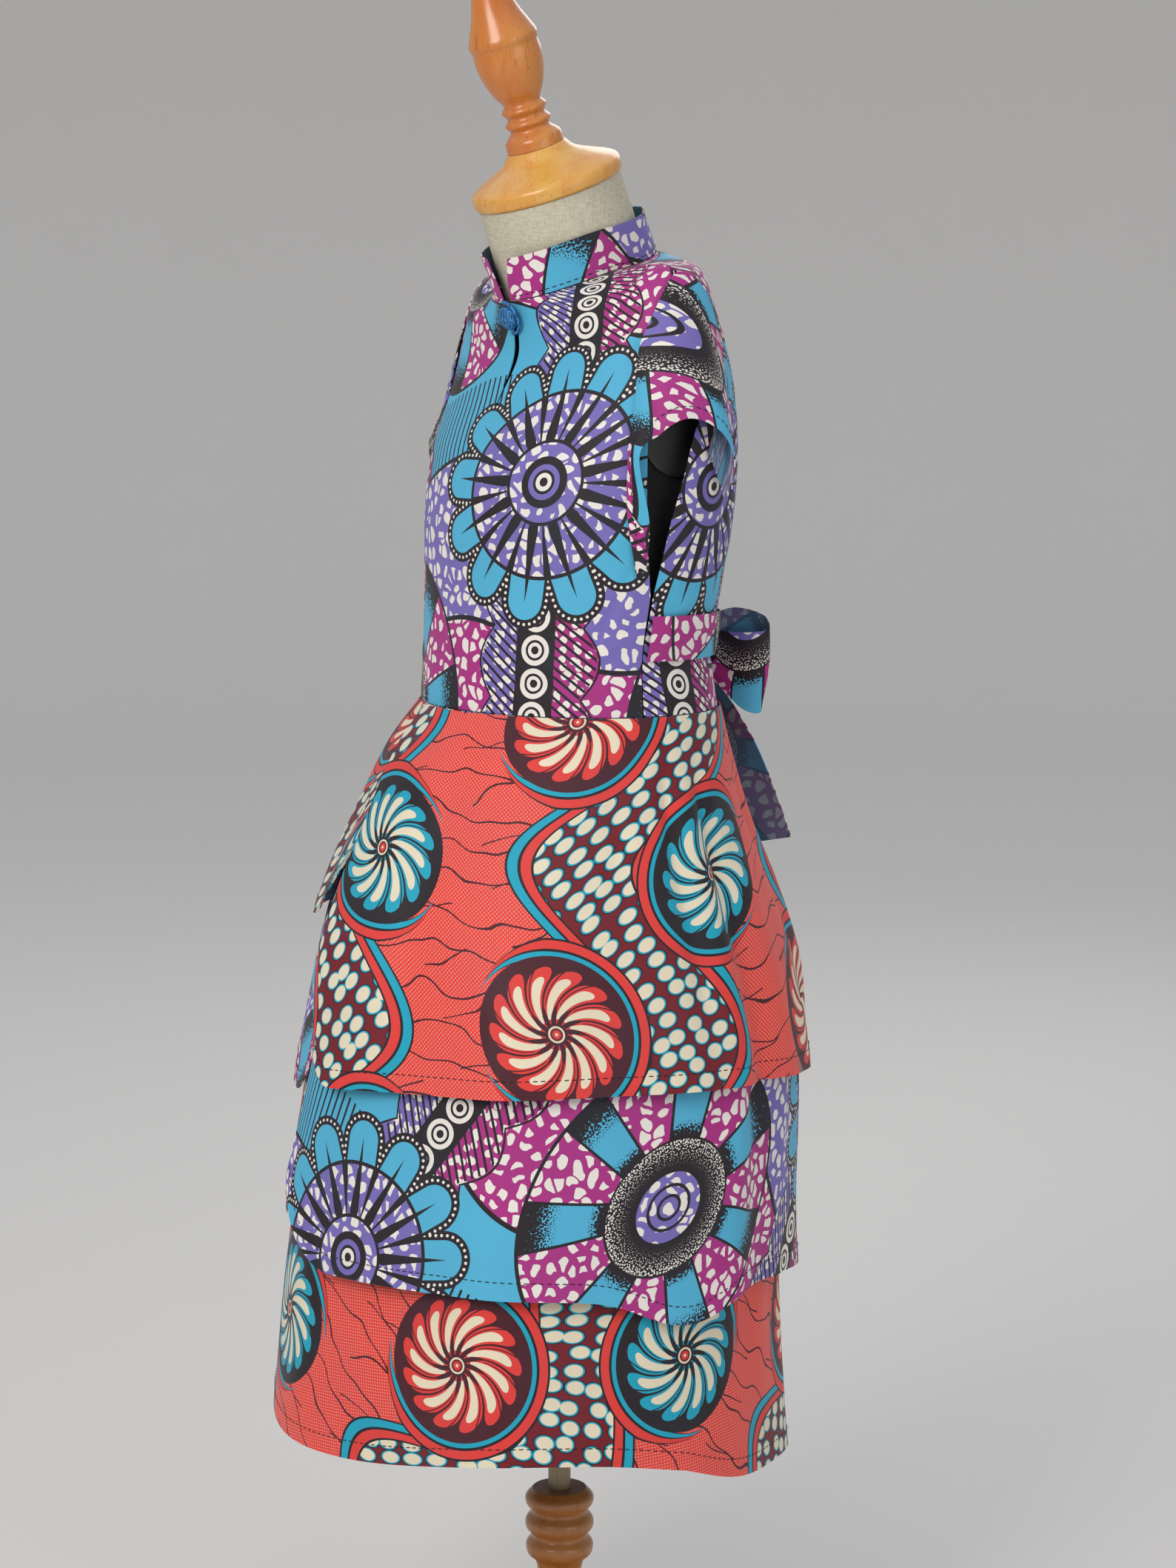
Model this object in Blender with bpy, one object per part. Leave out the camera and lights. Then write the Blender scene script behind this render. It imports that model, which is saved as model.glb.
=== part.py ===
"""A child's wax print dress with staggered flap tiers, standing on a limbless dress form.

Units are metres, +Z is up, the dress faces -Y and the wearer's left is +X. The origin is the middle of the
foot's underside. Angles go round the body in degrees: 0 is centre front, 90 the wearer's left side, 180
centre back and -90 the wearer's right side.
"""

import math

import bmesh
import bpy
from mathutils import Vector

# Driving sizes
CLOTH = 0.0010          # thickness of every cloth wall
SEAM_GAP = 0.0004       # clear space between neighbouring pieces
LAYER = CLOTH + SEAM_GAP
SKIRT_LAYER = CLOTH + 0.0007
HEM_RADIUS = 0.13       # about how far the flaps' hems are from the pole
WAIST_Z = 0.5820
SIDE_SEAM = 78.0        # angle of the side seams
FRONT_SLIT_ROW = 4.9    # the centre-front slit ends at this bodice row
SLIT_HALF = 0.0016      # half width of the slit where it is widest
COLLAR_HEIGHT = 0.0225
NECK_TILT = math.radians(21.0)
NECK_ORIGIN = Vector((0.0, 0.0115, 0.8110))
NECK_RADIUS = 0.0398
NECK_LENGTH = 0.0480
NECK_ROOT = 0.0020      # the neck meets the torso this far below its origin
POLE_RADIUS = 0.00625
FOOT_HEIGHT = 0.0280
ARM_FLAT_X = 0.0855     # the torso is flat beyond this half width, where the arm plates sit
ARM_PLATE_RADIUS = 0.0240
ARM_PLATE_CENTRE = (0.0150, 0.7300)   # y, z
POLE_TOP = 0.4496       # just below the torso
BUTTON_ROW = 8.15       # the button sits at this bodice row at centre front
BUTTON_LIFT = 0.0009    # gap between the button and the bodice
BUTTON_LOOP_REACH = 0.0080
BUTTON_LOOP_RADIUS = 0.0009
TIE_LIFT = 0.0007       # the ties lie this far over the seam gap
TIE_END = 175.2         # the ties end at this angle, under the knot
KNOT_CENTRE = Vector((0.0, 0.0830, 0.6110))
KNOT_HALF = Vector((0.0085, 0.0072, 0.0125))

# Bodice rings from the waist seam to the neck seam. Heights at front, side and back, half sizes, centre,
# and the angles where the front and the back panel end at the armhole.
BODICE_COLUMNS = (
    "z_front", "z_side", "z_back", "half_width", "front", "back", "centre_y", "edge_front", "edge_back",
)
BODICE_ROWS = [
    (0.5824, 0.5824, 0.5824, 0.0925, 0.0740, 0.0740, 0.0060, 78.0, 78.0),
    (0.6120, 0.6120, 0.6120, 0.0918, 0.0705, 0.0700, 0.0050, 78.0, 78.0),
    (0.6450, 0.6450, 0.6450, 0.0960, 0.0710, 0.0715, 0.0080, 77.6, 78.4),
    (0.6830, 0.6850, 0.6880, 0.0995, 0.0740, 0.0745, 0.0125, 72.0, 82.0),
    (0.7160, 0.7220, 0.7280, 0.1005, 0.0685, 0.0740, 0.0145, 69.5, 89.0),
    (0.7450, 0.7570, 0.7650, 0.0985, 0.0545, 0.0665, 0.0160, 67.5, 98.0),
    (0.7660, 0.7900, 0.7960, 0.0945, 0.0435, 0.0540, 0.0155, 68.0, 106.0),
    (0.7790, 0.8120, 0.8150, 0.0850, 0.0415, 0.0480, 0.0145, 89.6, 90.4),
    (0.7880, 0.8155, 0.8220, 0.0635, 0.0415, 0.0455, 0.0130, 89.6, 90.4),
    (0.7965, 0.8135, 0.8265, 0.0418, 0.0442, 0.0442, 0.0115, 89.6, 90.4),
]
NECK_ROW = len(BODICE_ROWS) - 1
BODICE_GRID_ROWS = (0.0, 0.8, 1.6, 2.4, 3.2, 4.0, 4.9, 5.6, 6.2, 6.6, 7.0, 7.5, 8.2, 9.0)

# The under skirt's rings from the waist to below the hem.
SKIRT_COLUMNS = ("z", "half_width", "half_depth", "centre_y")
SKIRT_ROWS = [
    (0.5820, 0.0882, 0.0698, 0.0060),
    (0.5590, 0.0940, 0.0785, -0.0015),
    (0.5220, 0.1025, 0.0892, -0.0065),
    (0.4900, 0.1110, 0.1010, -0.0080),
    (0.4620, 0.1180, 0.1090, -0.0080),
    (0.4200, 0.1260, 0.1175, -0.0080),
    (0.3850, 0.1315, 0.1240, -0.0090),
    (0.3500, 0.1345, 0.1270, -0.0120),
    (0.3050, 0.1375, 0.1300, -0.0175),
    (0.2500, 0.1410, 0.1335, -0.0215),
    (0.1600, 0.1480, 0.1400, -0.0230),
]

# Skirt flaps, each from the waist seam down. Layer counts out from the under skirt. Angles are where the
# flap's two edges run at the waist and at the hem, and the hem's height is given at both ends.
FLAP_COLUMNS = (
    "name", "layer", "overlap", "start_top", "start_hem", "end_top", "end_hem",
    "hem_start", "hem_rise", "hem_end", "corner_start", "corner_end", "covered_to", "print_name",
)
FLAPS = [
    ("tier3_right", 1, 0, -208.0, -204.0, 12.0, 4.0, 0.302, 0.004, 0.305, 0.022, 0.022, 0.375, "coral"),
    ("tier2_right", 2, 0, -197.0, -196.5, -3.0, -11.0, 0.392, 0.004, 0.375, 0.030, 0.022, 0.462, "blue"),
    ("tier2_left", 2, 0, 3.0, -14.0, 162.0, 162.0, 0.288, 0.013, 0.268, 0.044, 0.030, 0.392, "blue"),
    ("tier1_right", 3, 0, -206.0, -204.0, 2.0, -8.0, 0.456, 0.004, 0.464, 0.045, 0.070, 0.582, "coral"),
    ("tier1_left", 3, 1, -20.0, -3.0, 168.0, 161.0, 0.388, 0.012, 0.380, 0.014, 0.020, 0.582, "coral"),
]
BASE_HEM = (0.1930, 0.2060, 0.1620)   # under skirt hem height at front, sides and back

# Where a hem sags, or rises with a negative depth: piece, angle, half width in degrees, depth.
HEM_SAGS = [
    ("skirt_base", 105.0, 26.0, 0.0160),
    ("skirt_base", 42.0, 22.0, -0.0050),
    ("tier2_left", 88.0, 14.0, 0.0155),
]
DROP_SHARES = [1.0 - k / 7 for k in range(8)]   # grid rows of the skirt from hem to waist
WAIST_DROPS = (0.0, 0.0100, 0.0250, 0.0480)     # the rows next to the waist lie this far below it on all layers

# Sleeve stations from the front foot of the armhole over the shoulder to the back. Row and angle give
# the seam on the bodice; the hem is a point; lift is how far the cloth bulges out between them.
SLEEVE_COLUMNS = ("row", "angle", "hem_x", "hem_y", "hem_z", "lift")
SLEEVE_STATIONS = [
    (2.25, 70.5, 0.0942, -0.0110, 0.6560, 0.0000),
    (3.00, 64.5, 0.0985, -0.0120, 0.6840, 0.0005),
    (3.80, 62.0, 0.1000, -0.0195, 0.7180, 0.0020),
    (4.70, 61.0, 0.1012, -0.0085, 0.7280, 0.0035),
    (5.90, 62.0, 0.1085, 0.0062, 0.7370, 0.0060),
    (6.90, 88.0, 0.1125, 0.0215, 0.7320, 0.0050),
    (6.05, 113.0, 0.1095, 0.0325, 0.7200, 0.0015),
    (4.90, 106.0, 0.1055, 0.0385, 0.7080, 0.0010),
    (3.90, 97.0, 0.1025, 0.0330, 0.6960, 0.0010),
]

# The bow's left loop, from the knot out and back to the knot, and its left tail, from the knot down.
BOW_COLUMNS = ("x", "y", "z", "width")
BOW_LOOP = [
    (0.0088, 0.0852, 0.6125, 0.013),
    (0.0250, 0.0965, 0.6150, 0.030),
    (0.0415, 0.1065, 0.6060, 0.042),
    (0.0505, 0.1035, 0.5970, 0.046),
    (0.0450, 0.0930, 0.5970, 0.042),
    (0.0285, 0.0858, 0.6040, 0.028),
    (0.0087, 0.0810, 0.6095, 0.013),
]
BOW_TAIL = [
    (0.0056, 0.0835, 0.5992, 0.010),
    (0.0145, 0.0930, 0.5830, 0.018),
    (0.0250, 0.1015, 0.5560, 0.026),
    (0.0310, 0.1085, 0.5280, 0.031),
    (0.0360, 0.1150, 0.5000, 0.034),
]
BOW_LOOP_ACROSS = Vector((0.0, 0.10, 1.0))    # the loop's width runs this way on the left side
BOW_TAIL_ACROSS = Vector((0.86, 0.30, 0.16))

# The torso below the waist, and its clearance inside the bodice above it.
HIP_COLUMNS = ("z", "half_width", "half_depth", "centre_y")
HIP_ROWS = [
    (0.4500, 0.0500, 0.0400, 0.0000),
    (0.4530, 0.0720, 0.0580, 0.0000),
    (0.4700, 0.0850, 0.0690, 0.0005),
    (0.5000, 0.0895, 0.0740, 0.0010),
    (0.5350, 0.0880, 0.0720, 0.0020),
    (0.5650, 0.0850, 0.0680, 0.0045),
]
TORSO_COLUMNS = ("row", "out")
TORSO_ROWS = [
    (0.25, -0.0062), (1.20, -0.0050), (2.40, -0.0040), (3.60, -0.0030), (4.80, -0.0030),
    (6.00, -0.0040), (6.60, -0.0045), (7.20, -0.0040), (8.00, -0.0026), (8.55, -0.0024),
]

# The button and an arm plate, radius (as a share of the plate's) at each height off what they sit on.
BUTTON_PROFILE = [
    (0.0048, 0.0000), (0.0062, 0.0012), (0.0066, 0.0028), (0.0060, 0.0044), (0.0042, 0.0058), (0.0018, 0.0064),
]
ARM_PLATE_PROFILE = [(0.85, 0.0003), (1.00, 0.0009), (1.00, 0.0022), (0.93, 0.0030), (0.30, 0.0032)]

# Turned wood, radius at each height along its own axis, from the top down.
FINIAL_PROFILE = [
    (0.0000, 0.1400), (0.0062, 0.1384), (0.0106, 0.1320), (0.0098, 0.1240), (0.0074, 0.1185),
    (0.0098, 0.1070), (0.0128, 0.0970), (0.0166, 0.0880), (0.0186, 0.0825), (0.0178, 0.0785),
    (0.0181, 0.0730), (0.0168, 0.0640), (0.0134, 0.0545), (0.0102, 0.0485), (0.0122, 0.0450),
    (0.0102, 0.0414), (0.0124, 0.0379), (0.0106, 0.0344), (0.0150, 0.0296), (0.0156, 0.0243),
    (0.0000, 0.0243),
]
CAP_PROFILE = [
    (0.0000, 0.0240), (0.0158, 0.0240), (0.0200, 0.0188), (0.0270, 0.0152), (0.0376, 0.0102),
    (0.0408, 0.0074), (0.0408, 0.0018), (0.0398, 0.0005), (0.0000, 0.0005),
]
POST_PROFILE = [
    (0.0150, 0.1390), (0.0190, 0.1345), (0.0188, 0.1305), (0.0160, 0.1262), (0.0190, 0.1210),
    (0.0188, 0.1165), (0.0158, 0.1122), (0.0188, 0.1070), (0.0180, 0.1015), (0.0138, 0.0974),
    (0.0122, 0.0880), (0.0136, 0.0660), (0.0190, 0.0420), (0.0240, 0.0283),
]
FOOT_PROFILE = [
    (0.0000, 0.0280), (0.0900, 0.0264), (0.1260, 0.0222), (0.1310, 0.0186), (0.1385, 0.0160),
    (0.1400, 0.0100), (0.1392, 0.0020), (0.1372, 0.0000), (0.0000, 0.0000),
]


def clear_scene():
    """Remove whatever the file opens with."""
    for found in list(bpy.data.objects):
        bpy.data.objects.remove(found, do_unlink=True)


def make_material(name, colour, roughness):
    """One plain Principled finish."""
    material = bpy.data.materials.new(name)
    material.use_nodes = True
    shader = material.node_tree.nodes["Principled BSDF"]
    shader.inputs["Base Color"].default_value = (*colour, 1.0)
    shader.inputs["Roughness"].default_value = roughness
    shader.inputs["Metallic"].default_value = 0.0
    material.diffuse_color = (*colour, 1.0)
    return material


def add_object(name, vertices, faces, material):
    """Link a closed mesh as one smooth object and turn its faces outward."""
    mesh = bpy.data.meshes.new(name)
    mesh.from_pydata([tuple(point) for point in vertices], [], faces)
    work = bmesh.new()
    work.from_mesh(mesh)
    bmesh.ops.recalc_face_normals(work, faces=work.faces)
    if work.calc_volume(signed=True) < 0:
        bmesh.ops.reverse_faces(work, faces=work.faces)
    work.to_mesh(mesh)
    work.free()
    mesh.shade_smooth()
    mesh.set_sharp_from_angle(angle=math.radians(40.0))
    mesh.materials.append(material)
    made = bpy.data.objects.new(name, mesh)
    bpy.context.scene.collection.objects.link(made)
    return made


def smoothstep(low, high, value):
    """0 below low, 1 above high, eased between."""
    share = min(1.0, max(0.0, (value - low) / (high - low)))
    return share * share * (3.0 - 2.0 * share)


def spline(knots, values, place):
    """Smooth curve through values at rising knots. Values may be numbers or vectors."""
    last = len(knots) - 1
    index = 0
    while index < last - 1 and place > knots[index + 1]:
        index += 1
    span = knots[index + 1] - knots[index]
    share = (place - knots[index]) / span

    def slope(at):
        low, high = max(0, at - 1), min(last, at + 1)
        return (values[high] - values[low]) * (1.0 / (knots[high] - knots[low]))

    square, cube = share * share, share ** 3
    return (values[index] * (2 * cube - 3 * square + 1) + slope(index) * (span * (cube - 2 * square + share))
            + values[index + 1] * (3 * square - 2 * cube) + slope(index + 1) * (span * (cube - square)))


def column(rows, columns, name):
    """One named column of a table as a list."""
    return [row[columns.index(name)] for row in rows]


def bodice_ring_point(row, angle):
    """Outer point of one tabled bodice ring."""
    value = dict(zip(BODICE_COLUMNS, row))
    turn = math.radians(angle)
    forward = math.cos(turn)
    depth = value["front"] if forward > 0 else value["back"]
    rise = value["z_front"] if forward > 0 else value["z_back"]
    height = value["z_side"] + (rise - value["z_side"]) * abs(forward) ** 1.2
    return Vector((value["half_width"] * math.sin(turn), value["centre_y"] - depth * forward, height))


def bodice_surface(angle, row):
    """Outer point of the bodice at a fractional row."""
    knots = list(range(len(BODICE_ROWS)))
    return spline(knots, [bodice_ring_point(ring, angle) for ring in BODICE_ROWS], row)


def bodice_point(angle, row, out=0.0):
    """Bodice point moved out along the surface normal."""
    place = bodice_surface(angle, row)
    if out == 0.0:
        return place
    step = 0.05
    up_row = min(NECK_ROW, row + step)
    across = bodice_surface(angle + 3.0, row) - bodice_surface(angle - 3.0, row)
    upward = bodice_surface(angle, up_row) - bodice_surface(angle, max(0.0, row - step))
    return place + across.cross(upward).normalized() * out


def panel_edge(row, side):
    """Angle where the front or back panel ends at a row, straight between the tabled rows."""
    edges = column(BODICE_ROWS, BODICE_COLUMNS, side)
    low = min(int(row), NECK_ROW - 1)
    return edges[low] + (edges[low + 1] - edges[low]) * (row - low)


def skirt_depth(height):
    """How far below the waist seam a height is."""
    return WAIST_Z - height


def row_height(hem, share):
    """Height of a skirt grid row: fixed near the waist, even from there down to the hem."""
    count = len(DROP_SHARES) - 1
    place = round(share * count)
    total = WAIST_Z - hem
    last = len(WAIST_DROPS) - 1
    near = [min(drop, total * k / count) for k, drop in enumerate(WAIST_DROPS)]
    if place <= last:
        return WAIST_Z - near[place]
    return WAIST_Z - near[last] - (total - near[last]) * (place - last) / (count - last)


def layer_out(layers, height):
    """How far a skirt layer stands out from the under skirt."""
    drop = skirt_depth(height)
    spread = 0.0050 * (1.0 - math.exp(-drop / 0.10)) * (1.0 - 0.55 * smoothstep(0.16, 0.30, drop))
    return layers * (SKIRT_LAYER + spread)


def soft_waves(angle, height):
    """Shallow flutes that all skirt layers share, deeper towards the floor."""
    turn = math.radians(angle)
    depth = 0.0034 * smoothstep(0.03, 0.36, skirt_depth(height))
    return depth * (0.55 * math.cos(7 * turn + 0.9) + 0.45 * math.cos(4 * turn + 2.3))


def skirt_point(angle, height, out=0.0):
    """Outer point of the under skirt, or of a layer that stands out from it."""
    heights = column(SKIRT_ROWS, SKIRT_COLUMNS, "z")
    depths = [WAIST_Z - item for item in heights]
    at = skirt_depth(height)
    half_width = spline(depths, column(SKIRT_ROWS, SKIRT_COLUMNS, "half_width"), at)
    half_depth = spline(depths, column(SKIRT_ROWS, SKIRT_COLUMNS, "half_depth"), at)
    centre = spline(depths, column(SKIRT_ROWS, SKIRT_COLUMNS, "centre_y"), at)
    turn = math.radians(angle)
    reach = out + soft_waves(angle, height)
    forward = centre - (half_depth + reach) * math.cos(turn)
    return Vector(((half_width + reach) * math.sin(turn), forward, height))


def cloth_wall(name, grid, material, removed=(), closed=False, inner=None):
    """Wall of even thickness behind a grid of outer points, with a rim round every free edge."""
    columns, rows = len(grid), len(grid[0])
    spans = columns if closed else columns - 1
    cells = [(i, j) for i in range(spans) for j in range(rows - 1) if (i, j) not in removed]
    normals = [[Vector() for _ in range(rows)] for _ in range(columns)]
    for i, j in cells:
        after = (i + 1) % columns
        corners = ((i, j), (after, j), (after, j + 1), (i, j + 1))
        first = grid[after][j + 1] - grid[i][j]
        second = grid[i][j + 1] - grid[after][j]
        facing = first.cross(second)
        for a, b in corners:
            normals[a][b] += facing
    used, vertices = {}, []
    for i, j in cells:
        after = (i + 1) % columns
        for key in ((i, j), (after, j), (after, j + 1), (i, j + 1)):
            if key not in used:
                used[key] = len(vertices)
                outer = grid[key[0]][key[1]]
                behind = outer - normals[key[0]][key[1]].normalized() * CLOTH
                vertices.append(outer)
                vertices.append(inner[key[0]][key[1]] if inner else behind)
    faces, edges = [], {}
    for i, j in cells:
        after = (i + 1) % columns
        ring = [used[key] for key in ((i, j), (after, j), (after, j + 1), (i, j + 1))]
        faces.append(tuple(ring))
        faces.append(tuple(number + 1 for number in reversed(ring)))
        for start, end in zip(ring, ring[1:] + ring[:1]):
            edges[(start, end)] = True
    for start, end in edges:
        if (end, start) not in edges:
            faces.append((end, start, start + 1, end + 1))
    return add_object(name, vertices, faces, material)


def turned(name, profile, segments, material, origin=Vector(), tilt=0.0, bore=0.0):
    """Solid turned from a profile of (radius, height) pairs, top to bottom, leaning forward by tilt."""
    side = Vector((1.0, 0.0, 0.0))
    axis = Vector((0.0, -math.sin(tilt), math.cos(tilt)))
    ahead = axis.cross(side)
    vertices, faces, rings = [], [], []
    outline = list(profile)
    if bore:
        outline += [(bore, profile[-1][1]), (bore, profile[0][1])]
    for radius, height in outline:
        if radius == 0.0:
            rings.append([len(vertices)])
            vertices.append(origin + axis * height)
            continue
        rings.append([len(vertices) + k for k in range(segments)])
        for k in range(segments):
            turn = 2 * math.pi * k / segments
            around = side * math.cos(turn) + ahead * math.sin(turn)
            vertices.append(origin + axis * height + around * radius)
    pairs = list(zip(rings, rings[1:]))
    if bore:
        pairs.append((rings[-1], rings[0]))
    for upper, lower in pairs:
        for k in range(segments):
            after = (k + 1) % segments
            corners = [upper[k % len(upper)], lower[k % len(lower)]]
            corners += [lower[after % len(lower)], upper[after % len(upper)]]
            unique = list(dict.fromkeys(corners))
            if len(unique) > 2:
                faces.append(tuple(unique))
    return add_object(name, vertices, faces, material)


def lofted(name, rings, material):
    """Closed solid through rings of equal length, with a fan to a middle point at both ends."""
    count = len(rings[0])
    vertices = [point for ring in rings for point in ring]
    faces = []
    for level in range(len(rings) - 1):
        for k in range(count):
            after = (k + 1) % count
            low = level * count
            faces.append((low + k, low + after, low + count + after, low + count + k))
    for ring, start in ((rings[0], 0), (rings[-1], (len(rings) - 1) * count)):
        middle = len(vertices)
        vertices.append(sum(ring, Vector()) / count)
        for k in range(count):
            faces.append((start + k, start + (k + 1) % count, middle))
    return add_object(name, vertices, faces, material)


def spread(start, end, count, ease=0.0):
    """Evenly spaced numbers, drawn towards both ends by ease."""
    shares = [k / count for k in range(count + 1)]
    return [start + (end - start) * (s - ease * math.sin(2 * math.pi * s) / (2 * math.pi)) for s in shares]


def build_bodice_front(material):
    """Front panel from side seam to side seam, slit at centre front from the neck down."""
    half = 11
    rows = BODICE_GRID_ROWS
    grid, inner = [], []
    for side in (-1, 1):
        shares = spread(1.0, 0.0, half, 0.25) if side < 0 else spread(0.0, 1.0, half, 0.25)
        for share in shares:
            angles = []
            for row in rows:
                edge = panel_edge(row, "edge_front") - 0.25
                ring_radius = bodice_surface(90.0, row).x
                narrowing = 1.0 - 0.4 * smoothstep(6.3, 9.0, row)
                opening = SLIT_HALF * (0.45 + smoothstep(FRONT_SLIT_ROW, 6.3, row) * narrowing)
                slit = math.degrees(opening / ring_radius)
                angles.append(side * (slit + (edge - slit) * share))
            grid.append([bodice_point(angle, row) for angle, row in zip(angles, rows)])
            inner.append([bodice_point(angle, row, -CLOTH) for angle, row in zip(angles, rows)])
    slit_cells = {(half, j) for j, row in enumerate(rows[:-1]) if row >= FRONT_SLIT_ROW}
    cloth_wall("bodice_front", grid, material, slit_cells, inner=inner)


def build_bodice_back(material):
    """Back panel from side seam to side seam."""
    rows = BODICE_GRID_ROWS
    grid, inner = [], []
    for share in spread(-1.0, 1.0, 22, 0.2):
        angles = [180.0 + share * (180.0 - panel_edge(row, "edge_back") - 0.25) for row in rows]
        grid.append([bodice_point(angle, row) for angle, row in zip(angles, rows)])
        inner.append([bodice_point(angle, row, -CLOTH) for angle, row in zip(angles, rows)])
    cloth_wall("bodice_back", grid, material, inner=inner)


def collar_point(angle, up, out=0.0):
    """Outer point of the stand collar, which leans forward with the neck."""
    foot = bodice_point(angle, NECK_ROW)
    axis = Vector((0.0, -math.sin(NECK_TILT), math.cos(NECK_TILT)))
    away = foot - NECK_ORIGIN
    away -= axis * away.dot(axis)
    return foot + axis * up + away.normalized() * out


def build_collar(material):
    """Stand collar, open in a notch at centre front."""
    grid = []
    for share in spread(0.0, 1.0, 34, 0.2):
        line = []
        for k in range(3):
            end = 5.0 + 9.0 * (k / 2.0) ** 1.5
            angle = end + (360.0 - 2 * end) * share
            line.append(collar_point(angle, SEAM_GAP + 0.0002 + COLLAR_HEIGHT * k / 2.0))
        grid.append(line)
    cloth_wall("collar", grid, material)


def mirror_x(points, side):
    """Points for the left side as they are, or mirrored for the right side."""
    return [Vector((side * point.x, point.y, point.z)) for point in points]


def sleeve_grid():
    """Outer points of the left cap sleeve, by station and from seam to hem."""
    knots = list(range(len(SLEEVE_STATIONS)))
    columns = {name: column(SLEEVE_STATIONS, SLEEVE_COLUMNS, name) for name in SLEEVE_COLUMNS}
    grid = []
    for place in spread(0.0, len(SLEEVE_STATIONS) - 1, 16):
        value = {name: spline(knots, columns[name], place) for name in SLEEVE_COLUMNS}
        seam = bodice_point(value["angle"], value["row"], LAYER + 0.0003)
        hem = Vector((value["hem_x"], value["hem_y"], value["hem_z"]))
        foot = bodice_point(value["angle"], value["row"])
        out = (bodice_point(value["angle"], value["row"], 0.01) - foot).normalized()
        bulge = (seam + hem) / 2 + Vector((out.x, out.y, abs(out.z) * 0.6 + 0.35)) * value["lift"]
        line = []
        for k in range(5):
            share = k / 4.0
            line.append(seam * (1 - share) ** 2 + bulge * (2 * share * (1 - share)) + hem * share ** 2)
        grid.append(line)
    return grid


def build_sleeves(material):
    """Cap sleeve each side, open below."""
    for side, label in ((1, "left"), (-1, "right")):
        grid = [mirror_x(line, side) for line in sleeve_grid()]
        if side > 0:
            grid.reverse()
        grid = [list(reversed(line)) for line in grid]
        cloth_wall("sleeve_" + label, grid, material)


def base_hem(angle):
    """Height of the under skirt's hem round the body."""
    front, sides, back = BASE_HEM
    forward = math.cos(math.radians(angle))
    if forward > 0:
        return sides + (front - sides) * forward ** 2
    return sides + (back - sides) * abs(forward) ** 1.3


def build_skirt_base(material):
    """Under skirt, one tube from the waist seam to the hem."""
    grid = []
    for k in range(48):
        angle = 360.0 * k / 48
        hem = base_hem(angle) - hem_sag("skirt_base", angle)
        grid.append([skirt_point(angle, row_height(hem, share)) for share in DROP_SHARES])
    cloth_wall("skirt_base", grid, material, closed=True)


def flap_layers(flap, angle, height):
    """Layer number of a flap, which is one more where its edge laps over the other half's flap."""
    if not flap["overlap"]:
        return flap["layer"]
    front = 1.0 - smoothstep(4.0, 24.0, angle)
    back = smoothstep(128.0, 148.0, angle)
    return flap["layer"] + max(front, back) * smoothstep(0.395, 0.450, height)


def hem_sag(name, angle):
    """How far a piece's hem hangs below its plain line."""
    total = 0.0
    for piece, place, half_width, depth in HEM_SAGS:
        if piece == name:
            away = (angle - place + 180.0) % 360.0 - 180.0
            total += depth * math.exp(-(away / half_width) ** 2)
    return total


def flap_point(flap, across, down):
    """Outer point of a flap, by share of its width and of its length."""
    corners = 0.0
    start = flap["start_top"] + (flap["start_hem"] - flap["start_top"]) * down
    end = flap["end_top"] + (flap["end_hem"] - flap["end_top"]) * down
    angle = start + (end - start) * across
    width = math.radians(abs(end - start)) * HEM_RADIUS
    for share, radius in ((across, flap["corner_start"]), (1.0 - across, flap["corner_end"])):
        inset = max(0.0, 1.0 - share * width / radius)
        corners += radius * inset ** 2
    rise = flap["hem_rise"] * 4.0 * across * (1.0 - across)
    hem = flap["hem_start"] + (flap["hem_end"] - flap["hem_start"]) * across + rise + corners
    hem -= hem_sag(flap["name"], flap["start_hem"] + (flap["end_hem"] - flap["start_hem"]) * across)
    height = row_height(hem, down)
    flare = smoothstep(flap["covered_to"], hem, height) if flap["covered_to"] > hem else 0.0
    turn = math.radians(angle)
    own = 0.0014 * flare * (1.0 + math.cos(9 * turn + flap["layer"] * 1.7))
    lift = 0.002 * flare * smoothstep(0.85, 1.0, max(across, 1.0 - across))
    if not flap["name"].endswith("left"):
        uncovered = smoothstep(-190.0, -172.0, angle) * (1.0 - smoothstep(-42.0, -22.0, angle))
        own, lift = own * uncovered, lift * uncovered
    return skirt_point(angle, height, layer_out(flap_layers(flap, angle, height), height) + own + lift)


def build_flaps(materials):
    """Tier flaps of both halves."""
    for row in FLAPS:
        flap = dict(zip(FLAP_COLUMNS, row))
        grid = []
        for across in spread(0.0, 1.0, 26, 0.45):
            grid.append([flap_point(flap, across, down) for down in DROP_SHARES])
        cloth_wall(flap["name"], grid, materials[flap["print_name"]])


def strip_wall(name, middle, widths, across, material):
    """Flat strip along a smooth line of middle points, with a width and a cross direction at each."""
    knots = list(range(len(middle)))
    grid = []
    count = (len(middle) - 1) * 2
    for k in range(count + 1):
        place = k / 2.0
        centre = spline(knots, middle, place)
        half = spline(knots, widths, place) / 2
        direction = spline(knots, across, place).normalized()
        grid.append([centre + direction * (half * (1.0 - 2.0 * j / 3.0)) for j in range(4)])
    cloth_wall(name, grid, material)


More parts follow.
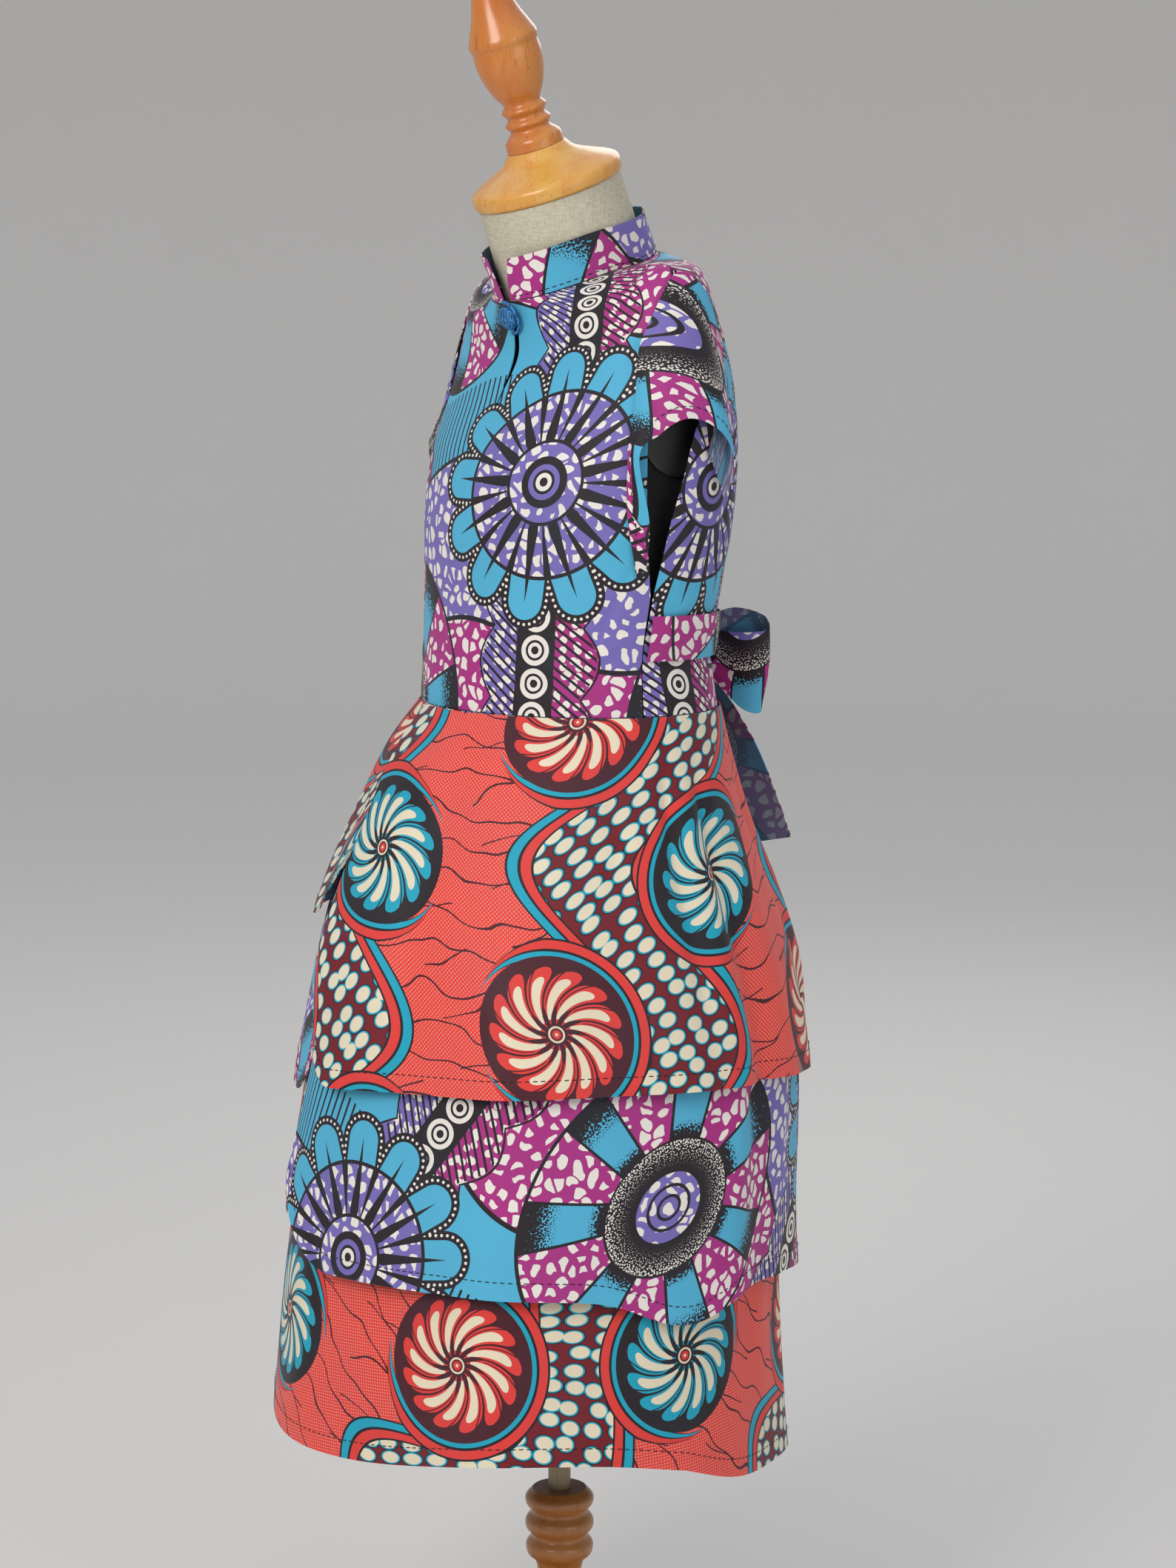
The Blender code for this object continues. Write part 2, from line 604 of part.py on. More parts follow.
def build_ties(material):
    """Waist ties, from the side seams to the bow at centre back."""
    for side, label in ((1, "left"), (-1, "right")):
        grid = []
        for share in spread(0.0, 1.0, 16):
            angle = SIDE_SEAM + 1.5 + (TIE_END - SIDE_SEAM - 1.5) * share
            narrow = 0.5 * smoothstep(0.6, 1.0, share)
            line = []
            for k in range(3):
                row = 1.35 - 0.05 * share + (k / 2.0 - 0.5) * (0.74 - narrow * 0.6)
                fold = 0.0012 * math.sin(math.pi * k / 2.0)
                line.append(bodice_point(angle, row, LAYER + TIE_LIFT + fold))
            grid.append(mirror_x(line, side))
        if side < 0:
            grid.reverse()
        cloth_wall("tie_" + label, grid, material)


def build_bow(material):
    """Bow at centre back: knot, two loops and two tails."""
    rings = []
    for level in range(7):
        turn = math.pi * (level + 0.5) / 7
        ring = []
        for k in range(14):
            spin = 2 * math.pi * k / 14
            reach = Vector((math.sin(turn) * math.cos(spin), math.sin(turn) * math.sin(spin), math.cos(turn)))
            ring.append(KNOT_CENTRE + reach * KNOT_HALF)
        rings.append(ring)
    lofted("bow_knot", rings, material)
    for side, label in ((1, "left"), (-1, "right")):
        for name, table in (("bow_loop_", BOW_LOOP), ("bow_tail_", BOW_TAIL)):
            path = mirror_x([Vector(row[:3]) for row in table], side)
            if table is BOW_LOOP:
                across = BOW_LOOP_ACROSS * side
            else:
                across = Vector((BOW_TAIL_ACROSS.x, BOW_TAIL_ACROSS.y, BOW_TAIL_ACROSS.z * side))
            strip_wall(name + label, path, column(table, BOW_COLUMNS, "width"), [across] * len(table), material)


def build_button(button_material, loop_material):
    """Cloth-covered button on the left edge of the slit, and its loop."""
    foot = bodice_point(0.0, BUTTON_ROW)
    out = (bodice_point(0.0, BUTTON_ROW, 0.01) - foot).normalized()
    centre = foot + out * BUTTON_LIFT
    side = Vector((1.0, 0.0, 0.0))
    upward = out.cross(side)
    rings = []
    for radius, height in BUTTON_PROFILE:
        ring = []
        for k in range(16):
            turn = 2 * math.pi * k / 16
            ring.append(centre + out * height + (side * math.cos(turn) + upward * math.sin(turn)) * radius)
        rings.append(ring)
    lofted("button", rings, button_material)
    path = []
    for k in range(15):
        turn = math.radians(-100.0 + 200.0 * k / 14)
        around = side * math.cos(turn) + upward * (1.1 * math.sin(turn))
        path.append(centre + out * 0.0022 + around * BUTTON_LOOP_REACH)
    rings = []
    for k, point in enumerate(path):
        ahead = (path[min(k + 1, 14)] - path[max(k - 1, 0)]).normalized()
        around = ahead.cross(out).normalized()
        spins = [2 * math.pi * q / 6 for q in range(6)]
        rings.append([point + (around * math.cos(t) + out * math.sin(t)) * BUTTON_LOOP_RADIUS for t in spins])
    lofted("button_loop", rings, loop_material)


def torso_ring(row, out):
    """Torso ring inside the bodice, flattened at the arms."""
    ring = []
    for k in range(32):
        place = bodice_point(360.0 * k / 32, row, out)
        limit = ARM_FLAT_X
        place.x = max(-limit, min(limit, place.x))
        ring.append(place)
    return ring


def build_torso(material):
    """Limbless torso of the form, from below the hips to the root of the neck."""
    rings = []
    turns = [2 * math.pi * k / 32 for k in range(32)]
    for height, half_width, half_depth, centre in HIP_ROWS:
        around = [(math.sin(t), math.cos(t)) for t in turns]
        rings.append([Vector((half_width * sine, centre - half_depth * cosine, height)) for sine, cosine in around])
    for row, out in TORSO_ROWS:
        rings.append(torso_ring(row, out))
    axis = Vector((0.0, -math.sin(NECK_TILT), math.cos(NECK_TILT)))
    side = Vector((1.0, 0.0, 0.0))
    ahead = side.cross(axis)
    reach = NECK_RADIUS - 0.0008
    root = NECK_ORIGIN - axis * NECK_ROOT
    rings.append([root + (side * math.sin(t) + ahead * math.cos(t)) * reach for t in turns])
    lofted("form_torso", rings, material)


def build_form(cloth, linen, cap_wood, wood, post_wood, pole_finish, grey):
    """Dress form: torso, neck, cap, finial, arm plates, pole, post and foot."""
    build_torso(cloth)
    neck = [(0.0, NECK_LENGTH), (NECK_RADIUS - 0.0006, NECK_LENGTH), (NECK_RADIUS, 0.004),
            (NECK_RADIUS, 0.0003 - NECK_ROOT), (0.0, 0.0003 - NECK_ROOT)]
    turned("form_neck", neck, 32, linen, NECK_ORIGIN, NECK_TILT)
    axis = Vector((0.0, -math.sin(NECK_TILT), math.cos(NECK_TILT)))
    cap_origin = NECK_ORIGIN + axis * (NECK_LENGTH - 0.0002)
    turned("form_cap", CAP_PROFILE, 28, cap_wood, cap_origin, NECK_TILT)
    turned("form_finial", FINIAL_PROFILE, 20, wood, cap_origin, NECK_TILT)
    for side, label in ((1, "left"), (-1, "right")):
        rings = []
        for radius, out in ARM_PLATE_PROFILE:
            middle = Vector((side * (ARM_FLAT_X + out), *ARM_PLATE_CENTRE))
            reach = ARM_PLATE_RADIUS * radius
            spins = [2 * math.pi * k / 20 for k in range(20)]
            rings.append([middle + Vector((0.0, math.cos(t), math.sin(t))) * reach for t in spins])
        lofted("form_armplate_" + label, rings, grey)
    foot_top = FOOT_HEIGHT + 0.0003
    pole = [(0.0, POLE_TOP), (POLE_RADIUS, POLE_TOP), (POLE_RADIUS, foot_top), (0.0, foot_top)]
    turned("form_pole", pole, 16, pole_finish)
    turned("form_collar", POST_PROFILE, 20, post_wood, bore=POLE_RADIUS + 0.0003)
    turned("form_base", FOOT_PROFILE, 36, post_wood)


def main():
    """Build the dress and its form."""
    clear_scene()
    blue = make_material("print_blue", (0.107, 0.370, 0.600), 0.80)
    coral = make_material("print_coral", (0.740, 0.110, 0.085), 0.80)
    button_cloth = make_material("button_blue", (0.060, 0.220, 0.480), 0.75)
    linen = make_material("linen", (0.584, 0.533, 0.412), 0.90)
    jersey = make_material("form_cloth", (0.030, 0.029, 0.030), 0.90)
    cap_wood = make_material("wood_honey", (0.650, 0.330, 0.090), 0.35)
    finial_wood = make_material("wood_amber", (0.520, 0.190, 0.040), 0.33)
    post_wood = make_material("wood_brown", (0.360, 0.140, 0.040), 0.38)
    pole_finish = make_material("pole_tan", (0.420, 0.330, 0.210), 0.45)
    grey = make_material("plate_grey", (0.090, 0.090, 0.095), 0.50)
    build_bodice_front(blue)
    build_bodice_back(blue)
    build_collar(blue)
    build_button(button_cloth, button_cloth)
    build_sleeves(blue)
    build_ties(blue)
    build_bow(blue)
    build_skirt_base(coral)
    build_flaps({"blue": blue, "coral": coral})
    build_form(jersey, linen, cap_wood, finial_wood, post_wood, pole_finish, grey)


main()
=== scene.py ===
"""A child's wax print dress with staggered flap tiers, on a limbless dress form: its finished look.

Units are metres, +Z is up, the dress faces -Y and the wearer's left is +X. Angles go round the body in
degrees: 0 is centre front, 90 the wearer's left side, 180 centre back and -90 the wearer's right side. The
two prints are drawn in millimetres of flat cloth.
"""

import math

import bpy
import numpy as np
from bpy.props import FloatProperty, FloatVectorProperty, IntProperty, PointerProperty
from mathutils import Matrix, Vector


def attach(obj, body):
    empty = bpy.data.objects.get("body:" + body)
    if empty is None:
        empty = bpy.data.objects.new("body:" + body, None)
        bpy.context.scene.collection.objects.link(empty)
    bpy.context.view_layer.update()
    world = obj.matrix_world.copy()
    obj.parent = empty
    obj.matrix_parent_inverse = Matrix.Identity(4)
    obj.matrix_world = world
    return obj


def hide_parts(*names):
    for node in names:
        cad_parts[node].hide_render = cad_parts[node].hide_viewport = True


bl_info = {
    "name": "Wax Print Dress",
    "version": (1, 0, 0),
    "blender": (4, 5, 0),
    "location": "View3D > Sidebar > Dress",
    "description": "Builds a child's wax print dress and the dress form that carries it",
    "category": "Add Mesh",
}

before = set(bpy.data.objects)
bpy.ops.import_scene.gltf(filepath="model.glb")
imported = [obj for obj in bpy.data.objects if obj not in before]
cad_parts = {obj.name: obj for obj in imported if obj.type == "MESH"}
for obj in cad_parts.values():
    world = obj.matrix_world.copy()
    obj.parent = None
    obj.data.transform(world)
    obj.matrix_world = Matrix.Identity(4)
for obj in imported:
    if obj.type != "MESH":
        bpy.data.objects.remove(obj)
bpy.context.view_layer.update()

# Driving sizes, in metres and degrees
CLOTH_GAP = 0.0004
LAYER = 0.0014
SKIRT_LAYER = 0.0017
WAIST_Z = 0.5820
SIDE_SEAM = 78.0
FRONT_SLIT_ROW = 4.9
SLIT_HALF = 0.0016
COLLAR_HEIGHT = 0.0225
NECK_TILT = math.radians(21.0)
NECK_ORIGIN = np.array([0.0, 0.0115, 0.8110])
NECK_RADIUS = 0.0398
NECK_LENGTH = 0.0480
NECK_ROOT = 0.0020
POLE_RADIUS = 0.00625
POLE_TOP = 0.4496
FOOT_HEIGHT = 0.0280
HEM_RADIUS = 0.13
HEM_FOLD = 0.0095       # the hems are turned up this much
BUTTON_ROW = 8.15
TIE_LIFT = 0.0007
TIE_END = 175.2
KNOT_CENTRE = np.array([0.0, 0.0830, 0.6110])
KNOT_HALF = np.array([0.0085, 0.0072, 0.0125])
NECK_AXIS = np.array([0.0, -math.sin(NECK_TILT), math.cos(NECK_TILT)])
BUTTON_LOOP = 0.0080
BUTTON_CORD = 0.0009
POST_BORE = POLE_RADIUS + 0.0003
FLOOR = np.zeros(3)
SIDEWAYS = np.array([1.0, 0.0, 0.0])
SENSOR = 36.0           # millimetres

# How finely the cloth is divided, and the cloth that a degree and a row of the bodice's creases cover
FLAP_COLUMNS, FLAP_ROWS = 170, 92
DEGREE_RUN = 0.0015
ROW_RUN = 0.031
PANEL_GAP = 0.25        # degrees from a panel's edge to its seam
HANG_WAVE = 0.0034
COLLAR_STITCH = 0.0022  # from the lower edge up to the line of stitches
SLEEVE_STITCH = 0.0070

SIDES = (("left", 1), ("right", -1))
CLOTH_MAP = "cloth"
COTTON = {"Specular IOR Level": 0.36, "Sheen Weight": 0.10, "Sheen Roughness": 0.45}
VARNISH = {"Coat Weight": 0.45, "Coat Roughness": 0.16}

# Bodice rings from the waist seam to the neck seam. Columns: height at front, side and back, half width,
# depth in front and behind, centre, and the angles where the front and the back panel end at the armhole.
BODICE_ROWS = np.array([
    (0.5824, 0.5824, 0.5824, 0.0925, 0.0740, 0.0740, 0.0060, 78.0, 78.0),
    (0.6120, 0.6120, 0.6120, 0.0918, 0.0705, 0.0700, 0.0050, 78.0, 78.0),
    (0.6450, 0.6450, 0.6450, 0.0960, 0.0710, 0.0715, 0.0080, 77.6, 78.4),
    (0.6830, 0.6850, 0.6880, 0.0995, 0.0740, 0.0745, 0.0125, 72.0, 82.0),
    (0.7160, 0.7220, 0.7280, 0.1005, 0.0685, 0.0740, 0.0145, 69.5, 89.0),
    (0.7450, 0.7570, 0.7650, 0.0985, 0.0545, 0.0665, 0.0160, 67.5, 98.0),
    (0.7660, 0.7900, 0.7960, 0.0945, 0.0435, 0.0540, 0.0155, 68.0, 106.0),
    (0.7790, 0.8120, 0.8150, 0.0850, 0.0415, 0.0480, 0.0145, 89.6, 90.4),
    (0.7880, 0.8155, 0.8220, 0.0635, 0.0415, 0.0455, 0.0130, 89.6, 90.4),
    (0.7965, 0.8135, 0.8265, 0.0418, 0.0442, 0.0442, 0.0115, 89.6, 90.4),
])
NECK_ROW = len(BODICE_ROWS) - 1
FRONT_EDGE, BACK_EDGE = 7, 8

# The under skirt's rings: height, half width, half depth and centre.
SKIRT_ROWS = np.array([
    (0.5820, 0.0882, 0.0698, 0.0060),
    (0.5590, 0.0940, 0.0785, -0.0015),
    (0.5220, 0.1025, 0.0892, -0.0065),
    (0.4900, 0.1110, 0.1010, -0.0080),
    (0.4620, 0.1180, 0.1090, -0.0080),
    (0.4200, 0.1260, 0.1175, -0.0080),
    (0.3850, 0.1315, 0.1240, -0.0090),
    (0.3500, 0.1345, 0.1270, -0.0120),
    (0.3050, 0.1375, 0.1300, -0.0175),
    (0.2500, 0.1410, 0.1335, -0.0215),
    (0.1600, 0.1480, 0.1400, -0.0230),
])
BASE_HEM = (0.1930, 0.2060, 0.1620)

# Where a hem sags, or rises with a negative depth: piece, angle, half width in degrees, depth.
HEM_SAGS = [
    ("skirt_base", 105.0, 26.0, 0.0160),
    ("skirt_base", 42.0, 22.0, -0.0050),
    ("tier2_left", 88.0, 14.0, 0.0155),
]
WAIST_DROPS = (0.0, 0.0100, 0.0250, 0.0480)
DROP_STEPS = 7

# Skirt flaps. Columns: name, layer, 1 where it laps over the next flap; the angles of the two edges, each at
# the waist and at the hem; the hem's height at its start, its rise between and its height at its end; the
# two corner radii; the height that the flap above covers it to; and its print.
FLAPS = [
    ("tier3_right", 1, 0, -208.0, -204.0, 12.0, 4.0, 0.302, 0.004, 0.305, 0.022, 0.022, 0.375, "coral"),
    ("tier2_right", 2, 0, -197.0, -196.5, -3.0, -11.0, 0.392, 0.004, 0.375, 0.030, 0.022, 0.462, "blue"),
    ("tier2_left", 2, 0, 3.0, -14.0, 162.0, 162.0, 0.288, 0.013, 0.268, 0.044, 0.030, 0.392, "blue"),
    ("tier1_right", 3, 0, -206.0, -204.0, 2.0, -8.0, 0.456, 0.004, 0.464, 0.045, 0.070, 0.582, "coral"),
    ("tier1_left", 3, 1, -20.0, -3.0, 168.0, 161.0, 0.388, 0.012, 0.380, 0.014, 0.020, 0.582, "coral"),
]

# Sleeve stations from the front foot of the armhole over the shoulder to the back. Columns: bodice row and
# angle of the seam, the hem's point, and how far the cloth bulges out between them.
SLEEVE_STATIONS = np.array([
    (2.25, 70.5, 0.0942, -0.0110, 0.6560, 0.0000),
    (3.00, 64.5, 0.0985, -0.0120, 0.6840, 0.0005),
    (3.80, 62.0, 0.1000, -0.0195, 0.7180, 0.0020),
    (4.70, 61.0, 0.1012, -0.0085, 0.7280, 0.0035),
    (5.90, 62.0, 0.1085, 0.0062, 0.7370, 0.0060),
    (6.90, 88.0, 0.1125, 0.0215, 0.7320, 0.0050),
    (6.05, 113.0, 0.1095, 0.0325, 0.7200, 0.0015),
    (4.90, 106.0, 0.1055, 0.0385, 0.7080, 0.0010),
    (3.90, 97.0, 0.1025, 0.0330, 0.6960, 0.0010),
])

# The bow's left loop, from the knot out and back to the knot, and its left tail: x, y, z and width.
BOW_LOOP = np.array([
    (0.0088, 0.0852, 0.6125, 0.013),
    (0.0250, 0.0965, 0.6150, 0.030),
    (0.0415, 0.1065, 0.6060, 0.042),
    (0.0505, 0.1035, 0.5970, 0.046),
    (0.0450, 0.0930, 0.5970, 0.042),
    (0.0285, 0.0858, 0.6040, 0.028),
    (0.0087, 0.0810, 0.6095, 0.013),
])
BOW_TAIL = np.array([
    (0.0056, 0.0835, 0.5992, 0.010),
    (0.0145, 0.0930, 0.5830, 0.018),
    (0.0250, 0.1015, 0.5560, 0.026),
    (0.0310, 0.1085, 0.5280, 0.031),
    (0.0360, 0.1150, 0.5000, 0.034),
])

# Turned pieces: radius at each height along the piece's own axis, from the top down.
FINIAL_PROFILE = [
    (0.0000, 0.1400), (0.0062, 0.1384), (0.0106, 0.1320), (0.0098, 0.1240), (0.0074, 0.1185),
    (0.0098, 0.1070), (0.0128, 0.0970), (0.0166, 0.0880), (0.0186, 0.0825), (0.0178, 0.0785),
    (0.0181, 0.0730), (0.0168, 0.0640), (0.0134, 0.0545), (0.0102, 0.0485), (0.0122, 0.0450),
    (0.0102, 0.0414), (0.0124, 0.0379), (0.0106, 0.0344), (0.0150, 0.0296), (0.0156, 0.0243),
]
CAP_PROFILE = [
    (0.0150, 0.0240), (0.0158, 0.0240), (0.0200, 0.0188), (0.0270, 0.0152), (0.0376, 0.0102),
    (0.0408, 0.0074), (0.0408, 0.0018), (0.0398, 0.0005),
]
POST_PROFILE = [
    (0.0150, 0.1390), (0.0190, 0.1345), (0.0188, 0.1305), (0.0160, 0.1262), (0.0190, 0.1210),
    (0.0188, 0.1165), (0.0158, 0.1122), (0.0188, 0.1070), (0.0180, 0.1015), (0.0138, 0.0974),
    (0.0122, 0.0880), (0.0136, 0.0660), (0.0190, 0.0420), (0.0240, 0.0283),
]
FOOT_PROFILE = [
    (0.0000, FOOT_HEIGHT), (0.0900, 0.0264), (0.1260, 0.0222), (0.1310, 0.0186), (0.1385, 0.0160),
    (0.1400, 0.0100), (0.1392, 0.0020), (0.1372, 0.0000),
]

NECK_PROFILE = [
    (NECK_RADIUS - 0.0006, NECK_LENGTH), (NECK_RADIUS - 0.0004, 0.036), (NECK_RADIUS, 0.004),
    (NECK_RADIUS, 0.0003 - NECK_ROOT),
]
POLE_PROFILE = [
    (POLE_RADIUS - 0.0004, POLE_TOP), (POLE_RADIUS, POLE_TOP - 0.0004), (POLE_RADIUS, FOOT_HEIGHT + 0.0003),
]
BUTTON_PROFILE = [
    (0.0000, 0.0064), (0.0018, 0.0063), (0.0042, 0.0056), (0.0060, 0.0043), (0.0066, 0.0028),
    (0.0062, 0.0012), (0.0048, 0.0000),
]

# Where each piece was cut from its print: sideways and upward shift in millimetres, and turn in degrees.
PRINT_PLACES = {
    "bodice_front": (-56.0, -122.0, 0.0),
    "bodice_back": (121.0, -121.0, 0.0),
    "collar": (172.0, 176.0, 0.0),
    "sleeve_left": (80.0, 71.0, 0.0),
    "sleeve_right": (60.0, 96.0, 0.0),
    "tie_left": (40.0, 100.0, 0.0),
    "tie_right": (140.0, 100.0, 0.0),
    "bow_knot": (100.0, 60.0, 0.0),
    "bow_loop_left": (60.0, 110.0, 30.0),
    "bow_loop_right": (150.0, 30.0, 10.0),
    "bow_tail_left": (160.0, 80.0, 80.0),
    "bow_tail_right": (20.0, 150.0, 60.0),
    "skirt_base": (-133.0, 330.0, 39.5),
    "tier1_left": (32.0, 43.5, 0.0),
    "tier2_left": (-96.4, 293.8, 33.0),
    "tier1_right": (60.0, 40.0, 0.0),
    "tier2_right": (60.0, 120.0, 0.0),
    "tier3_right": (30.0, 90.0, 0.0),
}

# Main creases pressed into the cloth. On the bodice: angle, row, slant in degrees, half length,
# half width and depth in metres. On the skirt: angle at the waist and at the floor end, top and bottom
# height, half width in degrees and depth.
BODICE_CREASES = [
    (66.0, 2.1, 62.0, 0.030, 0.0032, -0.0010),
    (58.0, 2.6, 38.0, 0.026, 0.0030, 0.0009),
    (70.0, 1.1, 20.0, 0.030, 0.0030, -0.0009),
    (52.0, 0.9, 8.0, 0.036, 0.0034, 0.0008),
    (57.0, 5.6, 64.0, 0.024, 0.0034, -0.0010),
    (46.0, 6.3, 48.0, 0.022, 0.0032, 0.0008),
    (30.0, 0.6, -12.0, 0.030, 0.0034, -0.0006),
    (18.0, 3.4, 80.0, 0.034, 0.0040, 0.0006),
    (84.0, 1.6, 8.0, 0.030, 0.0032, -0.0010),
    (104.0, 2.0, 24.0, 0.034, 0.0036, 0.0010),
    (118.0, 3.6, 70.0, 0.036, 0.0040, -0.0010),
    (140.0, 1.0, 10.0, 0.036, 0.0036, -0.0008),
    (152.0, 4.6, 84.0, 0.040, 0.0040, 0.0008),
    (171.0, 2.6, 80.0, 0.036, 0.0036, -0.0008),
    (-64.0, 2.2, -58.0, 0.030, 0.0032, -0.0010),
    (-54.0, 1.0, -14.0, 0.034, 0.0034, 0.0008),
    (-60.0, 5.6, -62.0, 0.024, 0.0034, -0.0010),
    (-34.0, 3.0, -76.0, 0.036, 0.0040, 0.0007),
    (-98.0, 1.8, -16.0, 0.032, 0.0034, -0.0010),
    (-122.0, 3.2, -66.0, 0.036, 0.0040, 0.0009),
    (-146.0, 1.2, -8.0, 0.034, 0.0036, -0.0008),
    (-160.0, 4.4, -84.0, 0.040, 0.0040, 0.0008),
]
SKIRT_CREASES = [
    (88.0, 96.0, 0.580, 0.380, 3.2, -0.0034),
    (95.0, 106.0, 0.560, 0.250, 4.4, 0.0028),
    (102.0, 113.0, 0.578, 0.300, 3.2, -0.0032),
    (113.0, 124.0, 0.540, 0.180, 5.4, 0.0026),
    (70.0, 76.0, 0.575, 0.430, 3.6, -0.0018),
    (42.0, 46.0, 0.470, 0.160, 7.0, 0.0018),
    (20.0, 16.0, 0.560, 0.330, 6.0, -0.0016),
    (-4.0, -8.0, 0.500, 0.170, 6.4, 0.0020),
    (-30.0, -36.0, 0.575, 0.300, 5.2, -0.0024),
    (-52.0, -58.0, 0.520, 0.180, 6.4, 0.0024),
    (-78.0, -84.0, 0.578, 0.350, 3.8, -0.0030),
    (-92.0, -99.0, 0.560, 0.200, 5.2, 0.0026),
    (-108.0, -116.0, 0.575, 0.300, 4.4, -0.0026),
    (-134.0, -140.0, 0.540, 0.170, 6.4, 0.0026),
    (136.0, 144.0, 0.575, 0.260, 4.6, -0.0026),
    (158.0, 163.0, 0.560, 0.170, 6.0, 0.0024),
    (176.0, 178.0, 0.575, 0.300, 4.6, -0.0022),
    (-160.0, -163.0, 0.560, 0.200, 5.2, -0.0020),
]

def tone(code):
    """Linear colour from a hexadecimal sRGB code."""
    values = [int(code[k:k + 2], 16) / 255 for k in (1, 3, 5)]
    return tuple(v / 12.92 if v <= 0.04045 else ((v + 0.055) / 1.055) ** 2.4 for v in values)


def shade(colour, factor):
    """A colour multiplied by a factor."""
    return tuple(factor * item for item in colour)


def dye(name, description, code):
    """Colour setting with its default as a hexadecimal code."""
    return FloatVectorProperty(
        name=name, description=description, subtype="COLOR", default=tone(code), min=0, max=1)


def number(name, description, default, low, high, **kind):
    """Number setting with its limits and its unit or subtype."""
    return FloatProperty(name=name, description=description, default=default, min=low, max=high, **kind)


def length(name, description, default, low, high):
    """Length setting."""
    return number(name, description, default, low, high, unit="LENGTH")


class DressSizes(bpy.types.PropertyGroup):
    """Sizes of the sewn cloth that a user may change."""

    cloth: length("Cloth", "Thickness of the cotton that shows at its edges", 0.0006, 0.0002, 0.0010)
    crease: number("Creases", "Depth of the pressed and hanging creases", 1.0, 0.0, 1.5, subtype="FACTOR")
    stitch_pitch: length("Stitch pitch", "From one hem stitch to the next", 0.0040, 0.002, 0.01)
    stitch_length: length("Stitch length", "Length of one hem stitch", 0.0030, 0.001, 0.009)
    thread: length("Thread", "Radius of the hem thread", 0.00026, 0.0001, 0.0006)


class PrintColours(bpy.types.PropertyGroup):
    """Dyes of the two wax prints, the hem thread and the covered button."""

    ground: dye("Ground", "Brown-black ground and outlines of the blue print", "#1E1218")
    sky: dye("Sky", "Sky blue petals and fields", "#4FAED2")
    lavender: dye("Lavender", "Lavender discs and fields", "#7468B2")
    magenta: dye("Magenta", "Magenta fields", "#A8287F")
    white: dye("White", "Undyed cotton of the blue print", "#E8E2DA")
    coral: dye("Coral", "Coral fields of the second print", "#E63A28")
    red: dye("Red", "Bright red outlines", "#DC3A34")
    wine: dye("Wine", "Dark red fields", "#720C18")
    maroon: dye("Maroon", "Thin dark lines on the coral print", "#46101C")
    teal: dye("Teal", "Teal bands and rosettes", "#12A0BC")
    cream: dye("Cream", "Undyed cotton of the coral print", "#E4D8BC")
    reverse: dye("Reverse", "Paler tint of the cloth's reverse side", "#4C6C88")
    thread: dye("Thread", "Hem thread", "#1C1A22")
    button: dye("Button", "Covered button and its loop", "#2F7EBE")


class FormFinish(bpy.types.PropertyGroup):
    """Finishes of the dress form."""

    honey: dye("Cap wood", "Light turned wood of the neck cap", "#DBA650")
    amber: dye("Finial wood", "Orange-brown turned wood of the finial", "#CB8338")
    brown: dye("Post wood", "Turned wood of the post and the foot", "#B47A3E")
    linen: dye("Linen", "Linen over the neck", "#C9C2AC")
    pole: dye("Pole", "Painted steel pole", "#A08C6C")
    jersey: dye("Jersey", "Dark cloth over the torso", "#17161A")
    plate: dye("Arm plates", "Plates in the armholes", "#2A2A2C")
    turns: IntProperty(
        name="Turned segments", description="Segments round each turned piece", default=72, min=16, max=160)


class StageSettings(bpy.types.PropertyGroup):
    """Camera, floor and studio light."""

    azimuth: number("Azimuth", "Camera's place round the dress, from the front to the wearer's left",
                    math.radians(55.0), -math.pi, math.pi, subtype="ANGLE")
    distance: length("Distance", "Camera to the pole", 1.8, 0.5, 6.0)
    height: length("Height", "Camera height over the floor", 0.78, 0.1, 2.5)
    pitch: number("Pitch", "How far the camera looks down", math.radians(7.7), -1.5, 1.5, subtype="ANGLE")
    yaw: number("Yaw", "How far the camera looks to its right",
                math.radians(0.51), -1.5, 1.5, subtype="ANGLE")
    lens: number("Lens", "Focal length for a 36 mm long side", SENSOR * 4500 / 2117, 20, 200, unit="CAMERA")
    key: number("Key light", "Strength of the main softbox in watts", 23.0, 0.0, 500.0)
    fill: number("Fill light", "Strength of the fill softbox in watts", 7.0, 0.0, 500.0)
    floor: dye("Floor", "Pale studio floor", "#DCDAD6")


def eased(low, high, value):
    """0 below low, 1 above high, smooth between."""
    share = np.clip((np.asarray(value, float) - low) / (high - low), 0.0, 1.0)
    return share * share * (3.0 - 2.0 * share)


def smooth_rows(knots, rows, place):
    """Smooth curves through the rows of a table at rising knots, read at an array of places."""
    knots, rows, place = np.asarray(knots, float), np.asarray(rows, float), np.asarray(place, float)
    index = np.searchsorted(knots[1:-1], place, side="left")
    span = (knots[index + 1] - knots[index])[..., None]
    share = (place - knots[index])[..., None] / span
    slopes = np.empty_like(rows)
    slopes[1:-1] = (rows[2:] - rows[:-2]) / (knots[2:] - knots[:-2])[:, None]
    slopes[0] = (rows[1] - rows[0]) / (knots[1] - knots[0])
    slopes[-1] = (rows[-1] - rows[-2]) / (knots[-1] - knots[-2])
    square, cube = share ** 2, share ** 3
    return (rows[index] * (2 * cube - 3 * square + 1) + slopes[index] * span * (cube - 2 * square + share)
            + rows[index + 1] * (3 * square - 2 * cube) + slopes[index + 1] * span * (cube - square))


def unit(vectors):
    """Vectors of length one."""
    return vectors / np.maximum(np.linalg.norm(vectors, axis=-1, keepdims=True), 1e-12)


